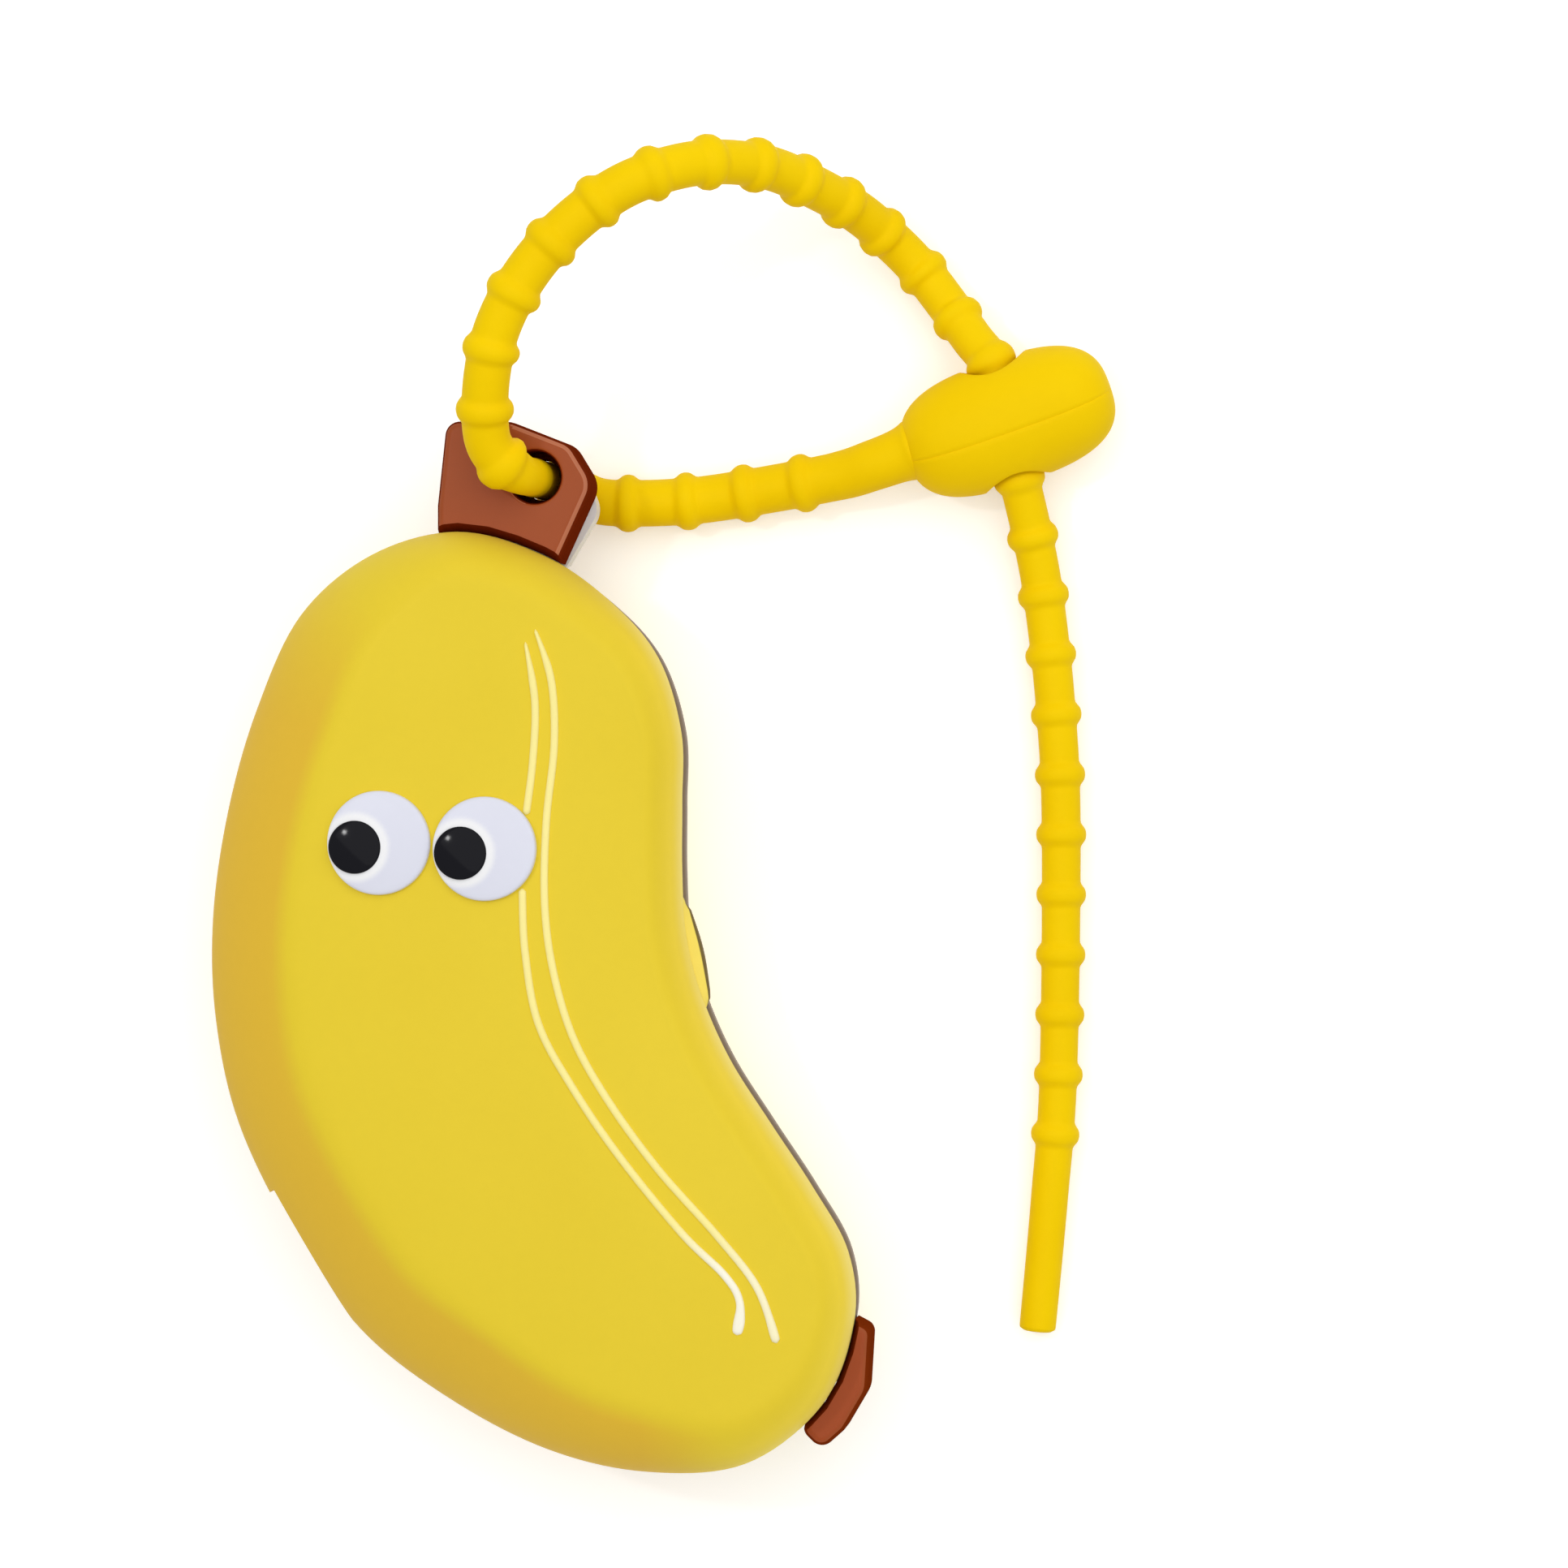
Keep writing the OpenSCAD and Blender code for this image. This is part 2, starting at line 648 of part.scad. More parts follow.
// Route of the strap, from the bead's neck round to its free end
STRAP = [
    [38.4, 52.5, 6.2], [34.4, 51.1, 5.8], [29.9, 49.9, 4.6], [19, 48.1, 3.3],
    [12.5, 47.4, 3.3], [5.3, 47.4, 3.4], [2.2, 48.4, 4.2], [0.3, 49.1, 6.4],
    [-0.3, 49.3, 9.5], [-0.5, 49.3, 13.5], [-0.7, 49.3, 17.8], [-1.5, 49.5, 20.6],
    [-3.1, 50.7, 22.5], [-4.3, 52.7, 23.8], [-4.4, 55.8, 25.2], [-3.9, 59.6, 26.6],
    [-2.8, 63.8, 27.6], [-0.6, 68.1, 28.2], [2.6, 72.3, 28.4], [6.7, 76.1, 28.2],
    [11.2, 78.9, 28], [16.2, 80.8, 26], [20.5, 81.6, 22.5], [24.7, 81.4, 18],
    [28.9, 79.9, 13.2], [32.9, 77.8, 8.5], [36.3, 75, 4.8], [39.4, 71.8, 3.4],
    [42.1, 68.3, 3.8], [44.7, 64.7, 5.2], [47.3, 61, 6.4], [48.6, 54.8, 6.1],
    [50, 49, 5.4], [51.3, 43, 3.8], [52.4, 36.5, 3], [53.6, 25.3, 2.8], [54.2, 12.3, 2.8],
    [53.9, -13.8, 2.7], [52.9, -27.6, 2.3], [51.6, -41.6, 2.1]
];
STRAP_STEPS = 4;
STRAP_SIDES = 8;
NECK_R = 2.8;
// The first rib's distance from the neck's end, and the last one's from the free end
NECK_LENGTH = 12.5;
PLAIN_TAIL = 21.2;
// Half the length of a rib at its foot and at its top
RIB_FOOT = 1.5;
RIB_TOP = 0.5;
// The strap is drawn thin where it passes through the stem
STEM_STRAP_R = 2.05;

strap_route = smooth_path(STRAP, STRAP_STEPS);
strap_run = [
    for (i = 0, s = 0; i < len(strap_route);
        i = i + 1, s = s + (i < len(strap_route) ? norm(strap_route[i] - strap_route[i - 1]) : 0)) s
];
strap_length = strap_run[len(strap_run) - 1];
ribbed_length = strap_length - NECK_LENGTH - PLAIN_TAIL;
ribs = round(ribbed_length / rib_pitch);

// Distance along the strap and radius of each ring: the neck, then each rib between two necks
function rib_place(k) = NECK_LENGTH + ribbed_length * k / ribs;
function in_stem(s) = let (p = strap_at(s)) norm([p.x, p.y] - STEM_HOLE) < 1;
function core_radius(s) = in_stem(s) ? STEM_STRAP_R : lerp(strap_r, tail_r, s / strap_length);
function rib_radius(s) = in_stem(s) ? STEM_STRAP_R + 0.1 : core_radius(s) + rib_rise;
strap_rings = concat(
    [[0, NECK_R], [4, NECK_R], [8, strap_r]],
    [for (k = [0 : ribs]) let (s = rib_place(k), core = core_radius(s), top = rib_radius(s)) each [
        [s - RIB_FOOT, core], [s - RIB_TOP, top], [s + RIB_TOP, top], [s + RIB_FOOT, core]]],
    [[strap_length - 10, tail_r], [strap_length - 0.5, tail_r], [strap_length, tail_r - 0.5]]
);
function strap_at(s, i = 1) =
    s <= strap_run[i] || i == len(strap_run) - 1
        ? lerp(strap_route[i - 1], strap_route[i],
            (s - strap_run[i - 1]) / (strap_run[i] - strap_run[i - 1]))
        : strap_at(s, i + 1);
strap_centres = [for (r = strap_rings) strap_at(r[0])];
strap_headings = [for (r = strap_rings) unit(strap_at(min(r[0] + 0.8, strap_length))
    - strap_at(max(r[0] - 0.8, 0)))];
// A direction across the strap, carried along it without twisting
strap_across = [
    for (i = 0, u = unit(cross(strap_headings[0], [0, 0, 1])); i < len(strap_rings);
        i = i + 1, u = i < len(strap_rings)
            ? unit(u - strap_headings[i] * (u * strap_headings[i])) : u) u
];

module strap_band() {
    color(strap_yellow)
        tube([
            for (i = [0 : len(strap_rings) - 1])
                let (u = strap_across[i], v = cross(strap_headings[i], u))
                    [for (k = [0 : STRAP_SIDES - 1])
                        let (a = 360 * k / STRAP_SIDES)
                            strap_centres[i] + (u * cos(a) + v * sin(a)) * strap_rings[i][1]]
        ]);
}

module strap_bead() {
    reach = bead_length / 2 - bead_r;
    color(strap_yellow)
        difference() {
            translate(BEAD_MIDDLE)
                rotate(BEAD_ANGLE)
                    scale([1, 1, BEAD_FLAT])
                        hull()
                            for (side = [-1, 1])
                                translate([side * reach, 0, 0])
                                    sphere(r = bead_r, $fn = 32);
            translate(BEAD_HOLE_MIDDLE)
                rotate([90 + BEAD_HOLE_SLOPE, 0, BEAD_HOLE_ANGLE])
                    cylinder(r = BEAD_HOLE_R, h = 40, center = true, $fn = 48);
        }
}

back_shell();
back_tray();
stem_front_cap();
stem_back_cap();
tip_cap();
hinge_pin();
front_shell();
front_liner();
eye_white(EYE_LEFT);  // eye_white_left
eye_white(EYE_RIGHT);  // eye_white_right
pupil(EYE_LEFT);  // pupil_left
pupil(EYE_RIGHT);  // pupil_right
ridge_line_left();
ridge_line_right();
strap_band();
strap_bead();
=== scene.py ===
import math

import bmesh
import bpy
import numpy as np
from mathutils import Matrix, Vector


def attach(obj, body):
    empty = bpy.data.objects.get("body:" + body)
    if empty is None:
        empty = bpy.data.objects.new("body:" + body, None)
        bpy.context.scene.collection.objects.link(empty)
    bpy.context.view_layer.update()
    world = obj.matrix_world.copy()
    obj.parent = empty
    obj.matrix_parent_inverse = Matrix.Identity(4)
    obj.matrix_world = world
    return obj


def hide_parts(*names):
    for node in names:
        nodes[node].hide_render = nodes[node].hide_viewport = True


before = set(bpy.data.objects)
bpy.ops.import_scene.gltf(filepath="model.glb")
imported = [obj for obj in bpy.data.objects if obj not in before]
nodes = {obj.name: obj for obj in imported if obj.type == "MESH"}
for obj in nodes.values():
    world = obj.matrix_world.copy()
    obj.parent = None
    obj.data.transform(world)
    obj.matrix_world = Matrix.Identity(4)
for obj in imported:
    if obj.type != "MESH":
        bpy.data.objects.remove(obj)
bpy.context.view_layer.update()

MM = 0.001

# Camera
# The photograph looks down on the case, tilted a little towards its concave side.
TILT = math.radians(6.4)
TARGET = Vector((26.0, 17.0, 17.5)) * MM
DISTANCE = 520 * MM
FRAME_WIDTH = 164.2 * MM

camera_data = bpy.data.cameras.new("camera")
camera = bpy.data.objects.new("camera", camera_data)
bpy.context.scene.collection.objects.link(camera)
back = Vector((math.sin(TILT), 0, math.cos(TILT)))
right = Vector((math.cos(TILT), 0, -math.sin(TILT)))
up = Vector((0, 1, 0))
camera.matrix_world = Matrix((
    (right.x, up.x, back.x, TARGET.x + back.x * DISTANCE),
    (right.y, up.y, back.y, TARGET.y + back.y * DISTANCE),
    (right.z, up.z, back.z, TARGET.z + back.z * DISTANCE),
    (0, 0, 0, 1),
))
camera_data.angle = 2 * math.atan(FRAME_WIDTH / 2 / DISTANCE)
camera_data.clip_start = 0.01
camera_data.clip_end = 10
bpy.context.scene.camera = camera

# Shape of the case, in millimetres
# places along its outline, each with how far the rounded shoulder reaches in from there
OUTLINE = [
    (-8.5, 43.6, 6), (-17.8, 41.2, 8), (-25.4, 34.9, 9.5), (-30.1, 25.1, 10), (-33.2, 14.5, 10),
    (-34.9, 3, 10), (-34.6, -8, 10), (-32.1, -19, 10), (-26.5, -30.2, 10), (-19, -40.6, 10),
    (-9.5, -47.8, 10), (1, -53, 9), (11.5, -55.2, 8), (22, -54.2, 6.5), (30, -48, 5),
    (33.3, -39.5, 4), (32.7, -32.1, 3.5), (29, -25.4, 3.5), (24.4, -18.5, 3.5), (20.1, -11.8, 3.5),
    (17.1, -5, 3.5), (15.5, 1.5, 3.5), (15.1, 8, 3.5), (15.1, 15, 3.5), (15, 22.5, 3.5),
    (12.6, 30.3, 4), (7.6, 36.2, 4.5), (0.5, 41.1, 5),
]
# line down the face from which it falls away to its sides
SPINE = [
    (-8.5, 42), (-8.5, 30), (-9.3, 18), (-9.8, 6), (-8.5, -6), (-4, -18), (4, -28.5),
    (13.5, -37.5), (23, -44.5), (29, -49),
]
# points to a span of the outline, and strips across a cap that closes a ring
SPAN_STEPS = 9
ACROSS = 24
CASE_DEPTH = 27
PART_HEIGHT = 13
WALL = 1.6
LINER_WALL = 1
# the face falls away from the spine, and from its middle to the ends
CROWN = 1.2
CROWN_REACH = 18
BEVEL = 0.55
BEVEL_WIDTHS = (6, 10)
LIP_HEIGHT = 1
GAP = 0.3
FLANGE_Z = PART_HEIGHT - 1.4
FLANGE_PROUD = 0.9
WIDEST_Z = PART_HEIGHT + 4.5
EDGE_SHARE = 0.16
LINER_OUT = WALL + GAP
LINER_IN = LINER_OUT + LINER_WALL
LIP_OUT = WALL + 0.35
FACE_MIDDLE = np.array((-5.0, -2.0))
END_DROP = 1.5
END_REACH = 55
# the back's curve reaches in by this share of the shoulder's width and this much more
BACK_SOFT = 0.9
BACK_SOFT_MORE = 2
# where the shoulder is narrower than this, the tray's rim stands proud of the shells
FLUSH_SOFT = 8
SPINE_STEPS = 6

KNUCKLE_R = 1.75
KNUCKLE_ROUND = 0.18
# webs that hold a knuckle of the lid and of the back: rear and front, then bottom and top
LID_WEB = ((-0.9, 0.1), (1.0, 3.4))
BACK_WEB = ((-0.5, 1.2), (-3.4, -0.6))
WEB_ROUND = 0.1
PIN_R = 0.9
PIN_TIGHT = 0.01
PIN_PLAY = 0.05
HINGE_LENGTH = 13.7
HINGE_MIDDLE = (-24.85, -32.05)
HINGE_ANGLE = math.radians(-59.5)
RELIEF_R = 2.4
TRAY_RELIEF_R = 2
RELIEF_LENGTH = 24.6
RELIEF_SHIFT = -3.2
KNUCKLE_GAP = 0.25
AXIS_Z = PART_HEIGHT + GAP / 2
KNUCKLE_LENGTH = (HINGE_LENGTH - 2 * KNUCKLE_GAP) / 3


def spline(points, steps, closed=False):
    """Catmull-Rom curve through points, with so many steps to a span."""
    p = np.array(points, float)
    n = len(p)
    made = []
    for i in range(n if closed else n - 1):
        if closed:
            a, b, c, d = p[i - 1], p[i], p[(i + 1) % n], p[(i + 2) % n]
        else:
            a, b, c, d = p[max(i - 1, 0)], p[i], p[i + 1], p[min(i + 2, n - 1)]
        for k in range(steps):
            t = k / steps
            made.append(0.5 * (2 * b + (c - a) * t + (2 * a - 5 * b + 4 * c - d) * t * t
                               + (3 * b - a - 3 * c + d) * t ** 3))
    if not closed:
        made.append(p[-1])
    return np.array(made)


outline = spline(OUTLINE, SPAN_STEPS, closed=True)
COUNT = len(outline)
HALF = COUNT // 2
plan = outline[:, :2]
ahead, behind = np.roll(plan, -3, axis=0), np.roll(plan, 3, axis=0)
inward = np.stack([behind[:, 1] - ahead[:, 1], ahead[:, 0] - behind[:, 0]], axis=1)
inward /= np.linalg.norm(inward, axis=1)[:, None]
soft = outline[:, 2]
back_soft = BACK_SOFT * soft + BACK_SOFT_MORE
bevel = BEVEL * np.clip((soft - BEVEL_WIDTHS[0]) / (BEVEL_WIDTHS[1] - BEVEL_WIDTHS[0]), 0, 1)
edge = EDGE_SHARE * soft
flange_edge = edge - FLANGE_PROUD * np.clip(1 - soft / FLUSH_SOFT, 0, None)
spine = spline(SPINE, SPINE_STEPS)


def face(p):
    """Height of the face over places in plan, an array of x, y rows."""
    p = np.atleast_2d(p)
    best = np.full(len(p), 1e9)
    for a, b in zip(spine[:-1], spine[1:]):
        along = np.clip(((p - a) @ (b - a)) / ((b - a) @ (b - a)), 0, 1)
        best = np.minimum(best, np.linalg.norm(p - a - along[:, None] * (b - a), axis=1))
    end = np.linalg.norm(p - FACE_MIDDLE, axis=1) / END_REACH
    return CASE_DEPTH - CROWN * (best / CROWN_REACH) ** 3 - END_DROP * end ** 4


def place(inset):
    """The case's outline in plan, moved inwards."""
    return plan + inward * np.broadcast_to(inset, (COUNT,))[:, None]


def ring(inset, z):
    return np.column_stack([place(inset), np.broadcast_to(z, (COUNT,))])


face_edge = face(place(soft))

# Thumb lip on the concave edge of the lid, with steep ends: how far it stands out at its lower and
# its upper end, and how much further in its middle
THUMB_OUT = (0.8, 0.6)
THUMB_BULGE = 0.8
THUMB_H = 2.4
THUMB_SPAN = (19.85 * SPAN_STEPS, 21.45 * SPAN_STEPS)
THUMB_END = 0.9
at = np.arange(COUNT)
thumb_share = np.clip((at - THUMB_SPAN[0]) / (THUMB_SPAN[1] - THUMB_SPAN[0]), 0, 1)
thumb = np.interp(thumb_share, (0, 1), THUMB_OUT) + THUMB_BULGE * np.sin(np.pi * thumb_share)
thumb *= np.clip(np.minimum(at - THUMB_SPAN[0], THUMB_SPAN[1] - at) / THUMB_END + 0.5, 0, 1)


def front_wall(depth, z, share=0.0):
    """Ring of the lid's lower wall, which leans out with its height. At share 1 it has the whole lip."""
    return ring(depth + edge * ((WIDEST_Z - z) / (WIDEST_Z - PART_HEIGHT)) ** 2 - share * thumb, z)


def front_shoulder(depth, degrees):
    """Ring of the lid's shoulder, from its widest place at 0 degrees to the face at 90."""
    a = math.radians(degrees)
    rise = (1 - bevel) * math.sin(a) + bevel * (1 - math.cos(a))
    return ring(depth + (soft - depth) * (1 - math.cos(a)),
                WIDEST_Z + (face_edge - depth - WIDEST_Z) * rise)


def back_curve(depth, degrees):
    """Ring of the back half, from the rim at 0 degrees to the flat bottom at 90."""
    a = math.radians(degrees)
    return ring(edge + depth + (back_soft - depth) * (1 - math.cos(a)),
                depth + (FLANGE_Z - depth) * (1 - math.sin(a)))


def sweep(start, stop, steps):
    return np.linspace(start, stop, steps + 1)


# Mesh helpers
def new_object(name, verts, faces, smooth_below=35):
    """Mesh object from millimetre points. It stays in millimetres until finished()."""
    mesh = bpy.data.meshes.new(name)
    mesh.from_pydata([tuple(v) for v in verts], [], [tuple(f) for f in faces])
    mesh.update()
    piece = bpy.data.objects.new(name, mesh)
    bpy.context.scene.collection.objects.link(piece)
    piece["smooth_below"] = smooth_below
    return piece


def outward(piece):
    """Turns the faces of a closed mesh outwards."""
    bm = bmesh.new()
    bm.from_mesh(piece.data)
    bmesh.ops.recalc_face_normals(bm, faces=bm.faces)
    bm.to_mesh(piece.data)
    bm.free()


def join(piece, *others):
    """Adds the meshes of others to piece as they are."""
    bm = bmesh.new()
    bm.from_mesh(piece.data)
    for other in others:
        bm.from_mesh(other.data)
        bpy.data.objects.remove(other)
    bm.to_mesh(piece.data)
    bm.free()
    return piece


def boolean(piece, cutter):
    """Cuts cutter out of piece and removes it."""
    modifier = piece.modifiers.new("cut", "BOOLEAN")
    modifier.operation = "DIFFERENCE"
    modifier.solver = "EXACT"
    modifier.object = cutter
    bpy.context.view_layer.update()
    graph = bpy.context.evaluated_depsgraph_get()
    made = bpy.data.meshes.new_from_object(piece.evaluated_get(graph))
    piece.modifiers.clear()
    piece.data = made
    bpy.data.objects.remove(cutter)


def finished(piece, body, finish, slot, *replaced):
    """Turns a millimetre piece into metres, shades it, dresses it and ties it to its body."""
    mesh = piece.data
    mesh.transform(Matrix.Scale(MM, 4))
    mesh.shade_smooth()
    mesh.set_sharp_from_angle(angle=math.radians(piece["smooth_below"]))
    mesh.materials.clear()
    mesh.materials.append(finish)
    mesh.update()
    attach(piece, body)
    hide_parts(*replaced)


def grid_faces(rows, columns):
    """Quads between rows of points, each row a loop."""
    made = []
    for r in range(rows - 1):
        for i in range(columns):
            a, b = r * columns + i, r * columns + (i + 1) % columns
            made.append((a, b, b + columns, a + columns))
    return made


def ladder(loop, height, verts, first):
    """Fills a ring of the case from its left half to its right half. Adds its points to verts."""
    base = len(verts)
    for j in range(1, HALF):
        a, b = loop[j][:2], loop[COUNT - j][:2]
        share = np.arange(1, ACROSS)[:, None] / ACROSS
        p = a + (b - a) * share
        verts.extend(np.column_stack([p, height(p)]))

    def index(j, k):
        if k == 0:
            return first + j
        if k == ACROSS:
            return first + (COUNT - j) % COUNT
        return base + (j - 1) * (ACROSS - 1) + k - 1

    made = []
    for k in range(ACROSS):
        made.append((first, index(1, k + 1), index(1, k)))
        made.append((index(HALF - 1, k), index(HALF - 1, k + 1), first + HALF))
    for j in range(1, HALF - 1):
        for k in range(ACROSS):
            made.append((index(j, k), index(j, k + 1), index(j + 1, k + 1), index(j + 1, k)))
    return made


def ring_shell(name, rings, first_height, last_height):
    """Rings of the case joined into a shell, closed over its first and its last ring."""
    verts = [p for one in rings for p in one]
    faces = grid_faces(len(rings), COUNT)
    faces += ladder(rings[0], first_height, verts, 0)
    faces += [f[::-1] for f in ladder(rings[-1], last_height, verts, (len(rings) - 1) * COUNT)]
    piece = new_object(name, verts, faces)
    outward(piece)
    return piece


def lathe(name, profile, segments=64):
    """Solid of revolution about Z. The profile is r, z points, closed on the axis where r is 0."""
    verts, rows = [], []
    for r, z in profile:
        if r == 0:
            rows.append([len(verts)])
            verts.append((0, 0, z))
        else:
            rows.append(range(len(verts), len(verts) + segments))
            verts.extend((r * math.cos(2 * math.pi * k / segments),
                          r * math.sin(2 * math.pi * k / segments), z) for k in range(segments))
    faces = []
    pairs = list(zip(rows[:-1], rows[1:]))
    if profile[0][0] != 0:
        pairs.append((rows[-1], rows[0]))
    for low, high in pairs:
        for k in range(segments):
            n = (k + 1) % segments
            if len(low) == 1:
                faces.append((low[0], high[n], high[k]))
            elif len(high) == 1:
                faces.append((low[k], low[n], high[0]))
            else:
                faces.append((low[k], low[n], high[n], high[k]))
    piece = new_object(name, verts, faces)
    outward(piece)
    return piece


def cylinder(name, r, low, high, segments):
    return lathe(name, [(0, low), (r, low), (r, high), (0, high)], segments)


def block(name, low, high):
    (a, b, c), (x, y, z) = low, high
    verts = [(a, b, c), (x, b, c), (x, y, c), (a, y, c), (a, b, z), (x, b, z), (x, y, z), (a, y, z)]
    faces = [(0, 3, 2, 1), (4, 5, 6, 7), (0, 1, 5, 4), (1, 2, 6, 5), (2, 3, 7, 6), (3, 0, 4, 7)]
    return new_object(name, verts, faces)


def rounded_block(name, low, high, radius):
    piece = block(name, low, high)
    bm = bmesh.new()
    bm.from_mesh(piece.data)
    bmesh.ops.bevel(bm, geom=list(bm.edges), offset=radius, segments=3, affect="EDGES", profile=0.5)
    bm.to_mesh(piece.data)
    bm.free()
    return piece


def prism(name, points, low, high):
    """Straight prism over a plan."""
    n = len(points)
    verts = [(x, y, low) for x, y in points] + [(x, y, high) for x, y in points]
    faces = grid_faces(2, n) + [tuple(range(n))[::-1], tuple(range(n, 2 * n))]
    piece = new_object(name, verts, faces)
    outward(piece)
    return piece


# a trim over the case's plan takes one in so many of its points
TRIM_STEP = 3


def case_prism(name, grow, low, high):
    return prism(name, place(-grow)[::TRIM_STEP], low, high)


def case_wedge(name, grow, low, bend, grow_top, top):
    """Prism over the case's plan that widens from bend up to top."""
    levels = [(grow, low), (grow, bend), (grow_top, top), (grow_top + 0.5, top + 1)]
    loops = [place(-g)[::TRIM_STEP] for g, _ in levels]
    n = len(loops[0])
    verts = [(x, y, z) for loop, (_, z) in zip(loops, levels) for x, y in loop]
    faces = grid_faces(len(levels), n) + [tuple(range(n))[::-1], tuple(range(3 * n, 4 * n))]
    piece = new_object(name, verts, faces)
    outward(piece)
    return piece


def moved(piece, matrix):
    piece.data.transform(matrix)
    return piece


AT_HINGE = (Matrix.Translation((HINGE_MIDDLE[0], HINGE_MIDDLE[1], AXIS_Z))
            @ Matrix.Rotation(HINGE_ANGLE, 4, "Z") @ Matrix.Translation((0, KNUCKLE_R, 0)))
ALONG_X = Matrix.Rotation(math.pi / 2, 4, "Y")


def rod(name, r, length, segments=64):
    h = length / 2
    return moved(cylinder(name, r, -h, h, segments), ALONG_X)


def hinge_relief(r=RELIEF_R):
    return moved(rod("relief", r, RELIEF_LENGTH),
                 AT_HINGE @ Matrix.Translation((RELIEF_SHIFT, 0, 0)))


def knuckle(x, web_place, bore):
    """Barrel piece with rolled edges, a bore and a web into its shell."""
    h, c = KNUCKLE_LENGTH / 2, KNUCKLE_ROUND
    profile = [(bore, -h), (KNUCKLE_R - c, -h), (KNUCKLE_R - c * 0.3, -h + c * 0.3), (KNUCKLE_R, -h + c),
               (KNUCKLE_R, h - c), (KNUCKLE_R - c * 0.3, h - c * 0.3), (KNUCKLE_R - c, h), (bore, h)]
    barrel = moved(lathe("barrel", profile, 48), ALONG_X)
    (rear, front), (low, high) = web_place
    web = rounded_block("web", (-h, rear, low), (h, front, high), WEB_ROUND)
    return moved(join(barrel, web), AT_HINGE @ Matrix.Translation((x, 0, 0)))


# Materials
DRIFT_SIZE = 60
FLECK_SIZE = 900


def noise(tree, where, scale, detail):
    texture = tree.nodes.new("ShaderNodeTexNoise")
    texture.inputs["Scale"].default_value = scale
    texture.inputs["Detail"].default_value = detail
    tree.links.new(where.outputs["Object"], texture.inputs["Vector"])
    return texture.outputs["Fac"]


def material(name, colour, roughness, fleck=0.06, bump=0.02, bump_size=6000, shade=None, sheen=0.0,
             subsurface=0.0, specular=0.5, tints=None):
    """Procedural plastic or rubber: fine grain, slow colour drift and uneven gloss, by object place.

    tints maps colour attributes of the mesh, each a share from 0 to 1, to the colours they blend in.
    """
    made = bpy.data.materials.new(name)
    made.use_nodes = True
    tree = made.node_tree
    tree.nodes.clear()
    out = tree.nodes.new("ShaderNodeOutputMaterial")
    shader = tree.nodes.new("ShaderNodeBsdfPrincipled")
    tree.links.new(shader.outputs[0], out.inputs[0])
    where = tree.nodes.new("ShaderNodeTexCoord")
    drift = noise(tree, where, DRIFT_SIZE, 3)

    mix = tree.nodes.new("ShaderNodeMix")
    mix.data_type = "RGBA"
    mix.inputs["A"].default_value = (*colour, 1)
    mix.inputs["B"].default_value = (*(shade or [c * (1 - fleck * 2) for c in colour]), 1)
    spread = tree.nodes.new("ShaderNodeMapRange")
    spread.inputs["From Min"].default_value = 0.35
    spread.inputs["From Max"].default_value = 0.7
    spread.inputs["To Max"].default_value = 0.55
    tree.links.new(drift, spread.inputs["Value"])
    tree.links.new(spread.outputs["Result"], mix.inputs["Factor"])
    fine = tree.nodes.new("ShaderNodeMix")
    fine.data_type = "RGBA"
    fine.blend_type = "MULTIPLY"
    fine.inputs["B"].default_value = (1 - fleck, 1 - fleck, 1 - fleck * 0.7, 1)
    tree.links.new(noise(tree, where, FLECK_SIZE, 5), fine.inputs["Factor"])
    shade_out = mix.outputs["Result"]
    for attribute, tint in (tints or {}).items():
        share = tree.nodes.new("ShaderNodeAttribute")
        share.attribute_name = attribute
        blend = tree.nodes.new("ShaderNodeMix")
        blend.data_type = "RGBA"
        blend.inputs["B"].default_value = (*tint, 1)
        tree.links.new(share.outputs["Fac"], blend.inputs["Factor"])
        tree.links.new(shade_out, blend.inputs["A"])
        shade_out = blend.outputs["Result"]
    tree.links.new(shade_out, fine.inputs["A"])
    tree.links.new(fine.outputs["Result"], shader.inputs["Base Color"])

    gloss = tree.nodes.new("ShaderNodeMapRange")
    gloss.inputs["To Min"].default_value = max(roughness - 0.06, 0.02)
    gloss.inputs["To Max"].default_value = min(roughness + 0.08, 1)
    tree.links.new(drift, gloss.inputs["Value"])
    tree.links.new(gloss.outputs["Result"], shader.inputs["Roughness"])

    relief = tree.nodes.new("ShaderNodeBump")
    relief.inputs["Strength"].default_value = 0.35
    relief.inputs["Distance"].default_value = bump * MM
    tree.links.new(noise(tree, where, bump_size, 3), relief.inputs["Height"])
    tree.links.new(relief.outputs["Normal"], shader.inputs["Normal"])

    shader.inputs["Sheen Weight"].default_value = sheen
    shader.inputs["Sheen Roughness"].default_value = 0.5
    shader.inputs["Subsurface Weight"].default_value = subsurface
    shader.inputs["Subsurface Radius"].default_value = (1.2, 0.8, 0.3)
    shader.inputs["Subsurface Scale"].default_value = 1.2 * MM
    shader.inputs["Specular IOR Level"].default_value = specular
    return made


# its tints are painted light: shade on the convex shoulder, bright and pale highlights on the concave one,
# and a shadow under the thumb lip
yellow = material("yellow_soft_touch", (0.82, 0.615, 0.026), 0.6, shade=(0.80, 0.595, 0.024),
                  fleck=0.03, bump=0.02, bump_size=5200, sheen=0.03, specular=0.22,
                  tints={"shoulder_painted_shade": (0.80, 0.50, 0.030), "shoulder_painted_highlight": (0.93, 0.70, 0.030),
                         "pale": (0.98, 0.79, 0.14), "lip_painted_shadow": (0.17, 0.12, 0.035)})
white = material("white_moulded", (0.80, 0.79, 0.80), 0.38, fleck=0.03, bump=0.015, specular=0.3)
